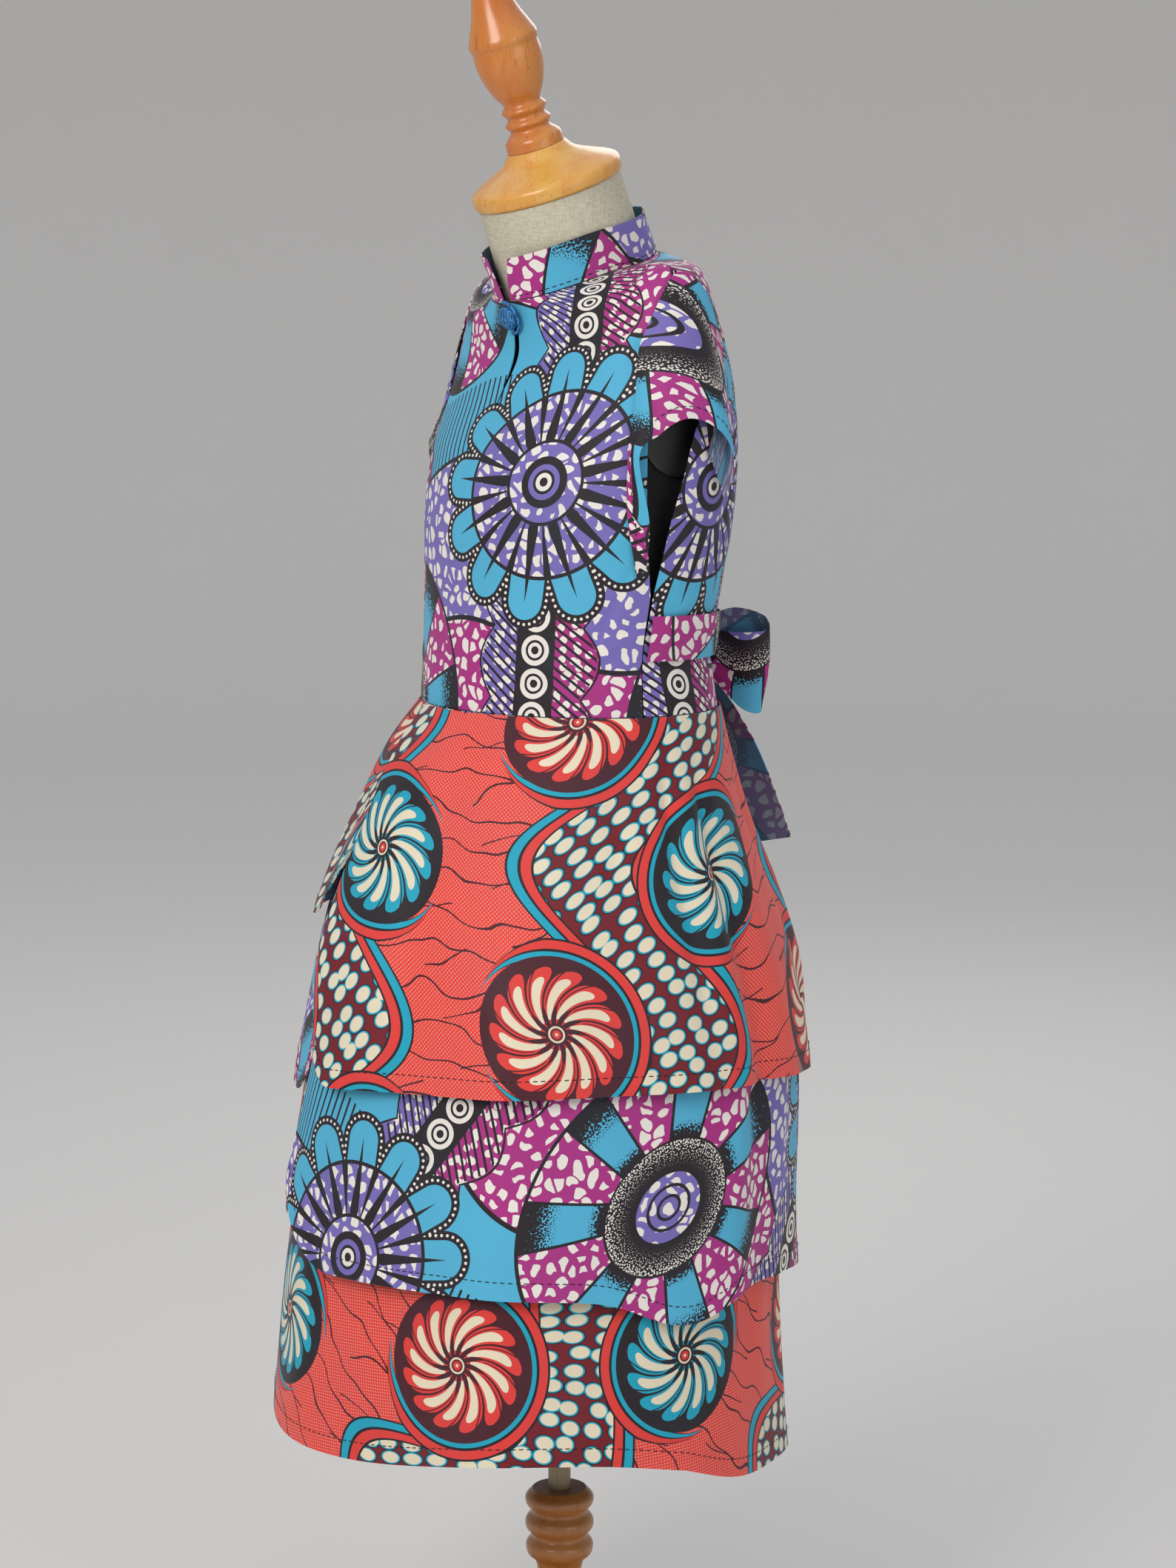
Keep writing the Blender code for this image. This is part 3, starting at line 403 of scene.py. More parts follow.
def spread(start, end, count, ease=0.0):
    """Evenly spaced numbers, drawn towards both ends by ease."""
    shares = np.linspace(0.0, 1.0, count + 1)
    return start + (end - start) * (shares - ease * np.sin(2 * np.pi * shares) / (2 * np.pi))


def run_of(points, axis=0):
    """Distance run along a line, or along one axis of a grid."""
    steps = np.linalg.norm(np.diff(points, axis=axis), axis=-1)
    return np.insert(np.cumsum(steps, axis=axis), 0, 0.0, axis=axis)


def away_from(place, angle):
    """Signed angle from a place round the body, from -180 to 180 degrees."""
    return (angle - place + 180.0) % 360.0 - 180.0


def bodice_surface(angle, row):
    """Points of the bodice at angles and fractional rows."""
    value = smooth_rows(range(len(BODICE_ROWS)), BODICE_ROWS[:, :FRONT_EDGE], row)
    z_front, z_side, z_back, half_width, front, back, centre = np.moveaxis(value, -1, 0)
    turn = np.radians(angle)
    forward = np.cos(turn)
    depth = np.where(forward > 0, front, back)
    rise = np.where(forward > 0, z_front, z_back)
    height = z_side + (rise - z_side) * np.abs(forward) ** 1.2
    return np.stack([half_width * np.sin(turn), centre - depth * forward, height], axis=-1)


def bodice_normal(angle, row):
    """Outward direction of the bodice."""
    across = bodice_surface(angle + 3.0, row) - bodice_surface(angle - 3.0, row)
    upper, lower = np.minimum(NECK_ROW, row + 0.05), np.maximum(0.0, row - 0.05)
    upward = bodice_surface(angle, upper) - bodice_surface(angle, lower)
    return unit(np.cross(across, upward))


def bodice_point(angle, row, out=0.0):
    """Points of the bodice moved out along its normal."""
    return bodice_surface(angle, row) + bodice_normal(angle, row) * np.asarray(out)[..., None]


def panel_edge(row, column):
    """Angle where the front or the back panel ends at a row."""
    return np.interp(row, range(len(BODICE_ROWS)), BODICE_ROWS[:, column])


def bodice_relief(angle, row):
    """Depth of the bodice's creases."""
    total = 0.0
    for at, level, slant, half_length, half_width, depth in BODICE_CREASES:
        x, y = away_from(at, angle) * DEGREE_RUN, (row - level) * ROW_RUN
        turn = math.radians(slant)
        along = x * math.cos(turn) + y * math.sin(turn)
        across = y * math.cos(turn) - x * math.sin(turn)
        total = total + depth * np.exp(-(along / half_length) ** 2 - (across / half_width) ** 2)
    return total * bpy.context.scene.dress_sizes.crease


def row_height(hem, share):
    """Height of a skirt row: fixed drops near the waist, even from there down to the hem."""
    total = WAIST_Z - hem
    drops = [np.minimum(drop, total * k / DROP_STEPS) for k, drop in enumerate(WAIST_DROPS)] + [total]
    steps = (*range(len(WAIST_DROPS)), DROP_STEPS)
    height = WAIST_Z
    for k, (start, end) in enumerate(zip(steps, steps[1:])):
        done = np.clip((share * DROP_STEPS - start) / (end - start), 0.0, 1.0)
        height = height - (drops[k + 1] - drops[k]) * done
    return height


def layer_out(layers, height):
    """How far a skirt layer stands out from the under skirt."""
    drop = WAIST_Z - height
    spread_out = 0.0050 * (1.0 - np.exp(-drop / 0.10)) * (1.0 - 0.55 * eased(0.16, 0.30, drop))
    return layers * (SKIRT_LAYER + spread_out)


def skirt_relief(angle, height):
    """Hanging creases that all skirt layers share."""
    share = 1.4 * (WAIST_Z - height) / WAIST_Z
    total = 0.0
    for at_top, at_low, top, bottom, half_width, depth in SKIRT_CREASES:
        away = away_from(at_top + (at_low - at_top) * share, angle)
        fade = eased(top, top - 0.05, height) * eased(bottom, bottom + 0.10, height)
        total = total + depth * fade * np.exp(-(away / half_width) ** 2)
    return total * bpy.context.scene.dress_sizes.crease


def skirt_point(angle, height, out=0.0):
    """Points of the under skirt, or of a layer that stands out from it."""
    value = smooth_rows(WAIST_Z - SKIRT_ROWS[:, 0], SKIRT_ROWS[:, 1:], WAIST_Z - height)
    half_width, half_depth, centre = np.moveaxis(value, -1, 0)
    turn = np.radians(angle)
    waves = 0.55 * np.cos(7 * turn + 0.9) + 0.45 * np.cos(4 * turn + 2.3)
    reach = out + HANG_WAVE * eased(0.03, 0.36, WAIST_Z - height) * waves + skirt_relief(angle, height)
    x, y = (half_width + reach) * np.sin(turn), centre - (half_depth + reach) * np.cos(turn)
    return np.stack([x, y, height], -1)


def grid_normals(grid, closed=False):
    """Outward direction at each point of a grid of columns and rows."""
    across = np.roll(grid, -1, 0) - np.roll(grid, 1, 0) if closed else np.gradient(grid, axis=0)
    return unit(np.cross(across, np.gradient(grid, axis=1)))


def flat_pattern(grid, origin, name):
    """Where each point of a grid lies on its flat cloth, in metres, placed on the print."""
    across, upward = run_of(grid, 0), run_of(grid, 1)
    column, row = origin
    across = across - across[column]
    upward = upward - upward[:, [row]]
    shift_u, shift_v, turn = PRINT_PLACES[name]
    turn = math.radians(turn)
    u = across * math.cos(turn) - upward * math.sin(turn) + shift_u / 1000
    v = across * math.sin(turn) + upward * math.cos(turn) + shift_v / 1000
    return np.stack([u, v], -1)


def quads(columns, rows, removed=None):
    """Corner numbers of a grid's cells."""
    i, j = np.meshgrid(np.arange(columns - 1), np.arange(rows - 1), indexing="ij")
    keep = np.ones(i.shape, bool) if removed is None else ~removed
    i, j = i[keep], j[keep]
    return np.stack([i * rows + j, (i + 1) * rows + j, (i + 1) * rows + j + 1, i * rows + j + 1], -1)


def mesh_object(name, vertices, faces, materials, face_slots=None, uv=None, sharp=40.0):
    """Mesh piece with smooth shading, and its cloth coordinates if it has any."""
    mesh = bpy.data.meshes.new(name)
    mesh.from_pydata(np.asarray(vertices).tolist(), [], [tuple(face) for face in faces])
    if uv is not None:
        layer = mesh.uv_layers.new(name=CLOTH_MAP)
        layer.data.foreach_set("uv", uv.astype(np.float32).ravel())
    for material in materials:
        mesh.materials.append(material)
    if face_slots is not None:
        mesh.polygons.foreach_set("material_index", face_slots.astype(np.int32))
    mesh.shade_smooth()
    mesh.set_sharp_from_angle(angle=math.radians(sharp))
    made = bpy.data.objects.new(name, mesh)
    bpy.context.scene.collection.objects.link(made)
    return made


def cloth_shell(name, grid, materials, origin, removed, closed):
    """Thin shell of cloth behind a grid of outer points, with its reverse side and its cut edges."""
    columns, rows = grid.shape[:2]
    solid = grid[:-1] if closed else grid
    behind = solid - grid_normals(solid, closed) * bpy.context.scene.dress_sizes.cloth
    count = solid.shape[0] * rows
    cells = quads(columns, rows, removed)
    corners = cells % count
    back = corners[:, ::-1] + count
    starts, ends = corners.ravel(), np.roll(corners, -1, 1).ravel()
    free = ~np.isin(starts * (2 * count) + ends, ends * (2 * count) + starts)
    starts, ends = starts[free], ends[free]
    rim = np.stack([ends, starts, starts + count, ends + count], -1)
    flat_starts, flat_ends = cells.ravel()[free], np.roll(cells, -1, 1).ravel()[free]
    rim_flat = np.stack([flat_ends, flat_starts, flat_starts, flat_ends], -1)
    pattern = flat_pattern(grid, origin, name).reshape(-1, 2)
    uv = pattern[np.concatenate([cells, cells[:, ::-1], rim_flat]).ravel()]
    slots = np.repeat([0, 1, 0], [len(corners), len(back), len(rim)])
    vertices = np.concatenate([solid.reshape(-1, 3), behind.reshape(-1, 3)])
    return mesh_object(name + "_cloth", vertices, np.concatenate([corners, back, rim]), materials, slots, uv)


def along_hem(grid, distance):
    """Line on the cloth at a distance above its first row, with the outward direction there."""
    points, outward = [], []
    for run, line, normals in zip(run_of(grid, 1), grid, grid_normals(grid)):
        points.append([np.interp(distance, run, line[:, k]) for k in range(3)])
        outward.append([np.interp(distance, run, normals[:, k]) for k in range(3)])
    return np.array(points), unit(np.array(outward))


def stitches(name, points, outward, material):
    """Running stitches along a line on the cloth, each a short tapered thread of ten points."""
    sizes = bpy.context.scene.dress_sizes
    run = run_of(points)
    places = np.arange(sizes.stitch_pitch, run[-1] - sizes.stitch_pitch, sizes.stitch_pitch)
    middle, ahead, out = (
        np.stack([np.interp(places + step, run, line[:, k]) for k in range(3)], -1)
        for line, step in ((points, 0.0), (points, 0.001), (outward, 0.0)))
    out = unit(out)
    along = unit(ahead - middle)
    side = np.cross(out, along)
    middle = middle + out * sizes.thread * 0.5
    half = along * sizes.stitch_length / 2
    rows = [middle - half - out * sizes.thread]
    for step in (-0.6, 0.6):
        rows += [middle + half * step + ring * sizes.thread for ring in (out, side, -out, -side)]
    rows.append(middle + half - out * sizes.thread)
    corners = []
    for k in range(4):
        after = (k + 1) % 4
        corners += [(0, 1 + after, 1 + k), (1 + k, 1 + after, 5 + after, 5 + k), (5 + k, 5 + after, 9)]
    bases = range(0, 10 * len(places), 10)
    faces = [[base + corner for corner in face] for base in bases for face in corners]
    return mesh_object(name, np.stack(rows, 1).reshape(-1, 3), faces, [material], sharp=60.0)


def feed(socket, value):
    """Give a node's input a term, a number or a colour."""
    if isinstance(value, Term):
        value.tree.links.new(value.socket, socket)
    elif hasattr(value, "__len__"):
        socket.default_value = (*value, 1.0) if len(socket.default_value) == 4 else tuple(value)
    else:
        socket.default_value = value


def node(kind, output, inputs, **settings):
    """Output of a new node, fed with terms, numbers and colours by its inputs' names or numbers."""
    tree = next(item.tree for item in inputs.values() if isinstance(item, Term))
    made = tree.nodes.new("ShaderNode" + kind)
    for key, value in settings.items():
        setattr(made, key, value)
    for key, value in inputs.items():
        feed(made.inputs[key], value)
    return Term(tree, made.outputs[output])


def formula(operation, *values):
    """One math node."""
    return node("Math", 0, dict(enumerate(values)), operation=operation)


class Term:
    """A value inside a node tree that takes part in formulas; a comparison gives 1 where it holds."""

    def __init__(self, tree, socket):
        self.tree = tree
        self.socket = socket

    def __add__(self, other):
        return formula("ADD", self, other)

    def __sub__(self, other):
        return formula("SUBTRACT", self, other)

    def __rsub__(self, other):
        return formula("SUBTRACT", other, self)

    def __mul__(self, other):
        return formula("MULTIPLY", self, other)

    def __truediv__(self, other):
        return formula("DIVIDE", self, other)

    def __lt__(self, other):
        return formula("LESS_THAN", self, other)

    def __gt__(self, other):
        return formula("GREATER_THAN", self, other)

    def __abs__(self):
        return formula("ABSOLUTE", self)

    def near(self, place, half):
        """1 where the value is within half of the place."""
        return abs(self - place) < half


def sine(value):
    """Sine of an angle in radians."""
    return formula("SINE", value)


def fract(value):
    """What a value is past its whole number."""
    return formula("FRACT", value)


def most(first, second):
    """The larger of two values."""
    return formula("MAXIMUM", first, second)


def hypot(first, second):
    """Distance from two sides at a right angle."""
    return formula("SQRT", first * first + second * second)


def around(x, y):
    """Angle of a point in radians."""
    return formula("ARCTAN2", y, x)


def repeat(value, place, period):
    """Signed distance to the nearest of a row of places."""
    return (fract((value - place) / period + 0.5) - 0.5) * period


def ramp(low, high, value):
    """0 at low, 1 at high, clamped."""
    return node("MapRange", 0, {"Value": value, "From Min": low, "From Max": high})


def point(x, y):
    """A flat place from its parts."""
    return node("CombineXYZ", 0, {0: x, 1: y})


def noise(vector, scale, detail=2.0, stretch=None):
    """Soft noise from 0 to 1, in a place that may be scaled by a different amount along each axis."""
    if stretch:
        vector = node("Mapping", 0, {"Vector": vector, "Scale": stretch})
    return node("TexNoise", 0, {"Vector": vector, "Scale": scale, "Detail": detail})


def cells(vector, scale, feature="F1", randomness=1.0):
    """Distance in a flat cell pattern."""
    inputs = {"Vector": vector, "Scale": scale, "Randomness": randomness}
    return node("TexVoronoi", "Distance", inputs, voronoi_dimensions="2D", feature=feature)


def mix(mask, under, over):
    """Colour over another where the mask is 1."""
    return node("Mix", 2, {0: mask, 6: under, 7: over}, data_type="RGBA", clamp_factor=True)


def layered(under, *layers):
    """A colour with others laid over it in order, each where its mask is 1."""
    for mask, colour in layers:
        under = mix(mask, under, colour)
    return under

def draw_flower(x, y, blobs, dyes, under):
    """Rayed flower with thirteen rounded petals and a chain of dots round each."""
    petal_count, tip, disc, eye, chain, bead_pitch = 13, 62.0, 50.0, 22.0, 12.8, 3.35
    step = 2 * math.pi / petal_count
    radius, turn = hypot(x, y), around(x, y)
    petal = fract(turn / step) - 0.5
    across, along = radius * sine(petal * step), radius * formula("COSINE", petal * step)
    beyond = most(along - tip, 0.0)
    reach = hypot(across, beyond)
    inside = (reach < 15.2) * (radius > disc - 1.0)
    run = formula("ARCTAN2", abs(across), beyond) * chain + most(tip - along, 0.0)
    bead = hypot(fract(run / bead_pitch) * bead_pitch - bead_pitch / 2, reach - chain)
    patches = mix(blobs, dyes.lavender, dyes.white)
    ray = abs(radius * sine(repeat(turn, 0.0, step / 2)))
    on_petal = abs(petal) < 0.25
    long_ray = (64.0 - radius) * 0.082
    short_ray = (radius - eye) * 0.070 + 0.35
    rays = (ray < short_ray + on_petal * (long_ray - short_ray)) * (radius < on_petal * 14.0 + disc)
    return layered(
        under, (inside, dyes.ground), (inside * (reach < 10.4), dyes.sky),
        (inside * (bead < 0.82), dyes.white),
        (radius < disc, patches), (radius.near(disc, 1.0), dyes.ground), (rays, dyes.ground),
        (radius < eye, patches), (radius.near(eye, 0.9), dyes.ground), (radius < 13.6, dyes.ground),
        (radius.near(7.9, 1.5), dyes.lavender), (radius.near(3.6, 1.2), dyes.white))


def draw_eye(x, y, speckle, magenta_field, blobs, dyes, under):
    """Oval eye with a speckled rim, in a round field of blue spokes on magenta."""
    field_edge, rim_edge, iris, sector = 80.0, 35.5, 18.0, 2 * math.pi / 7
    reach = hypot(x / 0.92, y / 1.07)
    from_spoke = abs(fract(around(x, y) / sector + 0.2) - 0.5) * sector * reach
    edge = reach * 0.13 + 3.4
    dark = most(ramp(45.0, 36.0, reach), ramp(58.0, 76.0, reach))
    spokes = mix(speckle < dark * 0.95, dyes.sky, dyes.ground)
    field = layered(magenta_field, (from_spoke < edge, spokes), (from_spoke.near(edge, 0.8), dyes.ground))
    return layered(
        under, (reach < field_edge, field), (reach.near(field_edge, 1.0), dyes.ground),
        (reach < rim_edge, dyes.ground),
        ((reach < rim_edge - 1.2) * (speckle < ramp(20.0, 36.5, reach) * 0.46), dyes.white),
        (reach < iris, mix(blobs, dyes.lavender, dyes.white)),
        (most(reach.near(6.0, 0.8), reach.near(11.5, 0.8)), dyes.ground))


def draw_targets(x, y, dyes, under):
    """Upright dark band with a row of white target rings, and hatched scallops on both sides of it."""
    outer = abs(x)
    scallop = abs(sine(y / 12.0)) * 9.0 + 27.0
    hatched = (outer < scallop - 2.0) * (fract((x * 0.75 + y) / 5.2) < 0.34)
    side = mix(x > 0.0, dyes.lavender, dyes.magenta)
    side = mix(cells(point(x, y), 0.17) < 0.34, side, dyes.white)
    ring = hypot(x, repeat(y, 0.0, 17.5))
    return layered(
        under, (outer < scallop, dyes.ground), (outer < scallop - 1.3, side), (hatched, dyes.ground),
        (outer < 11.2, dyes.ground), (most(ring.near(6.7, 1.3), ring.near(3.1, 0.95)), dyes.white))


def draw_blue_print(u, v, dyes):
    """The blue print: flowers, eyes, target bands and small rings over wavy stripes."""
    wide, tall, cell_scale, evenness = 250.0, 262.0, 0.125, 0.82
    place = point(u, v)
    speckle = cells(place, 0.80)
    wobble = noise(place, 0.10, 1.0) * 9.0
    uneven = point(u + wobble, v - wobble)
    gap = ramp(0.34, 0.66, noise(place, 0.035, 1.0)) * 0.18 + 0.08
    rounded = cells(uneven, cell_scale, "F1", evenness) < 0.40
    blobs = (cells(uneven, cell_scale, "DISTANCE_TO_EDGE", evenness) > gap) * rounded
    magenta_field = mix(blobs, dyes.magenta, dyes.white)
    lavender_field = mix(blobs, dyes.lavender, dyes.white)
    wave = (sine(u / 31.0) * 13.0 + v) / tall
    which, stripe = fract(wave), fract(wave * 3.0)
    comb = (fract((v * 0.3 + u) / 5.0) < 0.3) * (stripe < 0.55)
    small = hypot(repeat(u, wide / 2, wide), repeat(v, 0.0, tall))
    rings = most(most(small.near(14.6, 0.8), small.near(9.6, 0.8)), small.near(5.4, 0.7))
    colour = layered(
        mix(comb, dyes.sky, dyes.ground), (which > 1 / 3, magenta_field), (which > 2 / 3, lavender_field),
        (stripe < 0.03, dyes.ground), (small < 15.0, magenta_field), (rings, dyes.ground))
    x, y = repeat(u, wide / 2, wide), repeat(v, tall / 2, tall)
    colour = draw_eye(x, y, speckle, magenta_field, blobs, dyes, colour)
    x, y = repeat(u, 0.0, wide), repeat(v, 0.0, tall)
    return draw_flower(x, y, blobs, dyes, draw_targets(x, v, dyes, colour))


def draw_rosette(x, y, bright, dark, dyes, under):
    """Pinwheel of thirteen curved blades with a ringed middle."""
    count = 13
    radius = hypot(x, y)
    blade = fract((radius * 0.028 + around(x, y)) * (count / (2 * math.pi))) - 0.5
    half = math.pi / count
    pitch = radius * (2 * half)
    outer, inner = (
        hypot((blade + lean) * pitch, most(radius - tip, 0.0)) / (formula("MINIMUM", radius, full) * half)
        for lean, tip, full in ((0.0, 27.5, 33.0), (0.06, 26.0, 30.0)))
    slit = blade.near(0.30, 0.030) * (radius > 15.0) * (radius < 33.5)
    star = (abs(blade) > ramp(4.0, 17.0, radius) * 0.5) * (radius < 16.0)
    return layered(
        under, (radius < 40.0, dark), ((outer < 0.88) * (radius > 5.0), bright), (slit, dark),
        ((inner < 0.50) * (radius > 8.0), dyes.cream), (star, dark), (radius < 5.6, dark),
        (radius < 4.3, dyes.cream), (radius < 3.3, dyes.wine), (radius < 2.2, dyes.red),
        (radius < 0.8, dyes.cream))


def draw_bands(distance, dyes, under):
    """Teal and red line side by side with dark outlines, along a zero distance."""
    middle, half = 2.9, 2.2
    return layered(
        under, (abs(distance) < 6.2, dyes.ground), (distance.near(-middle, half), dyes.teal),
        (distance.near(middle, half), dyes.red))


def draw_coral_field(u, v, dyes):
    """Coral ground with a grid of pale dots and thin branching veins."""
    dot = hypot(*(fract(slant / 2.3) - 0.5 for slant in (u + v, u - v)))
    pale = tuple(0.60 * item + 0.26 for item in dyes.coral)
    drift = noise(point(u, v), 0.03, 1.0) * 26.0
    vein = abs(repeat(v + drift + sine(u / 13.0) * 2.4, 0.0, 19.0)) < 0.52
    branch = abs(repeat(v * 1.1 - u * 0.42 + drift, 6.0, 31.0)) < 0.5
    branch = branch * (sine(u / 9.0 + v / 23.0) > -0.1)
    return layered(dyes.coral, (dot < 0.27, pale), (most(vein, branch), dyes.maroon))


def draw_pebble_field(u, v, dyes):
    """Slanted rows of cream ovals rimmed in teal on dark red."""
    sway = sine(u / 21.0) * 6.0 + v
    pebble = cells(point((u * 0.80 + sway * 0.60) / 1.5, sway * 0.80 - u * 0.60), 0.110, "F1", 0.38)
    return layered(
        dyes.wine, (pebble < 0.47, dyes.ground), (pebble < 0.42, dyes.teal), (pebble < 0.35, dyes.cream))


def draw_coral_print(u, v, dyes):
    """The coral print: pinwheels held in winding bands between dotted and pebbled fields."""
    wide, tall, swing, half_coral, hook = 196.0, 166.0, 30.0, 65.0, 43.0
    bend = sine(v * (2 * math.pi / tall)) * swing + sine(v * (4 * math.pi / tall) + 0.6) * 3.0
    border = abs(repeat(u - bend, 0.0, wide)) - half_coral
    coral_field = draw_coral_field(u, v, dyes)
    colour = mix(border > 0.0, coral_field, draw_pebble_field(u, v, dyes))
    colour = draw_bands(border * 0.80, dyes, colour)
    rosettes = ((1, 0.25, dyes.red, dyes.maroon), (-1, 0.75, dyes.teal, dyes.ground))
    for side, height, bright, dark in rosettes:
        x = repeat(u, side * (half_coral + swing - hook), wide)
        y = repeat(v, height * tall, tall)
        ring = hypot(x, y)
        width = ramp(-38.0, -4.0, x * side) + 0.01
        colour = draw_bands((ring - hook) / width, dyes, mix(ring < hook + 1.0, colour, coral_field))
        colour = draw_rosette(x, y, bright, dark, dyes, colour)
    return colour


def surface(name, draw, bump, finish, on_cloth=False):
    """Material of that name; a function draws its colour, bump height and roughness the first time."""
    material = bpy.data.materials.get(name)
    if material:
        return material
    material = bpy.data.materials.new(name)
    material.use_nodes = True
    tree = material.node_tree
    place = tree.nodes.new("ShaderNodeUVMap" if on_cloth else "ShaderNodeTexCoord")
    if on_cloth:
        place.uv_map = CLOTH_MAP
    colour, height, roughness = draw(Term(tree, place.outputs["UV" if on_cloth else "Object"]))
    strength, distance = bump
    normal = node("Bump", 0, {"Height": height, "Strength": strength, "Distance": distance})
    shader = tree.nodes["Principled BSDF"]
    for key, value in {"Base Color": colour, "Normal": normal, "Roughness": roughness, **finish}.items():
        feed(shader.inputs[key], value)
    return material


def printed_cloth(name, draw, reverse):
    """Printed cotton with a plain weave; reverse is how much of the undyed back shows through."""
    dyes = bpy.context.scene.print_colours

    def paint(place):
        u, v = (node("SeparateXYZ", axis, {0: place}) * 1000.0 for axis in (0, 1))
        flat = point(u, v)
        faded = ramp(0.35, 0.9, noise(flat, 0.021, 3.0)) * 0.14
        colour = mix(faded, draw(u, v, dyes), shade(dyes.sky, 0.25))
        if reverse:
            colour = mix(reverse, colour, dyes.reverse)
        slub = noise(flat, 0.9, 3.0)
        threads = sine(u * 11.0) * sine(v * 11.0)
        return colour, threads * 0.3 + slub, ramp(0.0, 1.0, slub) * 0.14 + 0.56

    return surface(name, paint, (0.16, 0.0003), COTTON, True)


def print_materials(kind):
    """Face and reverse of one of the two prints."""
    draw = {"blue": draw_blue_print, "coral": draw_coral_print}[kind]
    name = "wax_print_" + kind
    return [printed_cloth(name, draw, 0.0), printed_cloth(name + "_reverse", draw, 0.74)]


def plain_material(name, colour, roughness, detail, finish=None):
    """Finish with its own small variation, drawn by a detail function."""
    def paint(place):
        painted, height, rough = detail(place, tuple(colour))
        return painted, height, rough * 0.16 + roughness

    return surface(name, paint, (0.25, 0.0004), finish or {})


def wood_detail(place, colour):
    """Turned and varnished wood: long grain, soft growth rings and small pores."""
    grain = noise(place, 150.0, 5.0, (1.0, 1.0, 0.09))
    rings = noise(place, 42.0, 2.0, (1.0, 0.5, 0.12))
    pores = noise(place, 900.0, 2.0, (1.0, 1.0, 0.05))
    dark = tuple(item * item * 0.9 + item * 0.30 for item in colour)
    painted = layered(
        colour, (ramp(0.40, 0.62, rings) * 0.75, dark), (ramp(0.48, 0.70, grain) * 0.55, dark),
        ((pores > 0.66) * 0.45, shade(dark, 0.35)))
    return painted, grain * 0.5 + pores * 0.3, grain


def linen_detail(place, colour):
    """Plain linen: crossed threads with slubs."""
    level, upright = (noise(place, 420.0, 2.0, stretch) for stretch in ((0.5, 0.5, 3.0), (3.0, 3.0, 0.4)))
    weave = level * 0.5 + upright * 0.5
    soil = ramp(0.50, 0.80, noise(place, 26.0, 3.0))
    painted = layered(
        colour, (ramp(0.42, 0.66, weave), shade(colour, 0.74)), (soil * 0.35, shade(colour, 0.62)))
    return painted, weave, weave


def jersey_detail(place, colour):
    """Dark stretch cloth: fine upright ribs and lint."""
    ribs = noise(place, 380.0, 2.0, (3.0, 3.0, 0.5))
    lint = noise(place, 900.0)
    pale = tuple(item + 0.05 for item in colour)
    painted = layered(colour, (ramp(0.4, 0.7, ribs) * 0.6, shade(colour, 0.5)), ((lint > 0.72) * 0.5, pale))
    return painted, ribs, lint


def paint_detail(place, colour):
    """Painted or moulded surface: faint mottling and scuffs along the length."""
    mottle = noise(place, 60.0, 4.0)
    scuff = noise(place, 500.0, 3.0, (1.0, 1.0, 0.06))
    painted = layered(
        colour, (ramp(0.35, 0.75, mottle) * 0.5, shade(colour, 0.72)),
        ((scuff > 0.68) * 0.4, shade(colour, 0.5)))
    return painted, mottle * 0.4 + scuff * 0.2, scuff


def button_detail(place, colour):
    """Blue cloth with dark speckles, stretched over a button."""
    speckle = cells(place, 1150.0)
    weave = noise(place, 2400.0)
    return mix(speckle < 0.36, colour, shade(colour, 0.16)), weave + speckle * 0.4, weave


def thread_detail(place, colour):
    """Twisted sewing thread."""
    twist = noise(place, 4000.0, 1.0)
    return mix(twist, colour, shade(colour, 0.5)), twist, twist


def floor_detail(place, colour):
    """Pale studio floor with a barely visible mottle."""
    mottle = noise(place, 3.0, 3.0)
    return mix(mottle * 0.10, colour, shade(colour, 0.90)), mottle, mottle


def settle(piece, slot, *nodes):
    """A piece rides on the one body and stands for its nodes; its slot is not used."""
    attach(piece, "root")
    if nodes:
        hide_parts(*nodes)
    return piece


def sew(name, kind, grid, origin=(0, 0), stitched=None, removed=None, closed=False):
    """One cut piece of a print, with a line of stitches at a distance above its first row if it has one."""
    slot = "print_" + kind
    lines = []
    if stitched:
        thread = plain_material("hem_thread", bpy.context.scene.print_colours.thread, 0.6, thread_detail)
        lines = [stitches(name + "_stitches", *along_hem(grid, stitched), thread)]
        settle(lines[0], slot)
    piece = cloth_shell(name, grid, print_materials(kind), origin, removed, closed)
    settle(piece, slot, name)


def turned_piece(name, profile, material, origin=(0.0, 0.0, 0.0), tilt=0.0, bore=0.0, steps=5):
    """Solid turned from a smooth profile of radius and height, leaning forward by tilt."""
    segments = bpy.context.scene.form_finish.turns
    profile = np.array(profile)
    if steps > 1:
        run = run_of(profile)
        shares = [np.linspace(a, b, steps, endpoint=False) for a, b in zip(run, run[1:])]
        profile = smooth_rows(run, profile, np.concatenate([*shares, run[-1:]]))
        profile[:, 0] = np.maximum(profile[:, 0], 0.0)
    outline = profile.tolist()
    if bore:
        outline += [(bore, outline[-1][1]), (bore, outline[0][1])]
    axis = np.array([0.0, -math.sin(tilt), math.cos(tilt)])
    turns = (np.arange(segments) * 2 * np.pi / segments)[:, None]
    spokes = SIDEWAYS * np.cos(turns) + np.cross(axis, SIDEWAYS) * np.sin(turns)
    points, rings, faces = [], [], []
    for radius, height in outline:
        ring = spokes * radius if radius > 1e-6 else np.zeros((1, 3))
        rings.append(range(len(points), len(points) + len(ring)))
        points.extend(origin + axis * height + ring)
    for upper, lower in zip(rings, rings[1:] + (rings[:1] if bore else [])):
        for k in range(segments):
            after = (k + 1) % segments
            places = ((upper, k), (lower, k), (lower, after), (upper, after))
            faces.append(tuple(dict.fromkeys(ring[index % len(ring)] for ring, index in places)))
    if not bore:
        faces += [tuple(ring) for ring in (rings[0], rings[-1][::-1]) if len(ring) > 1]
    return mesh_object(name, points, faces, [material], sharp=34.0)


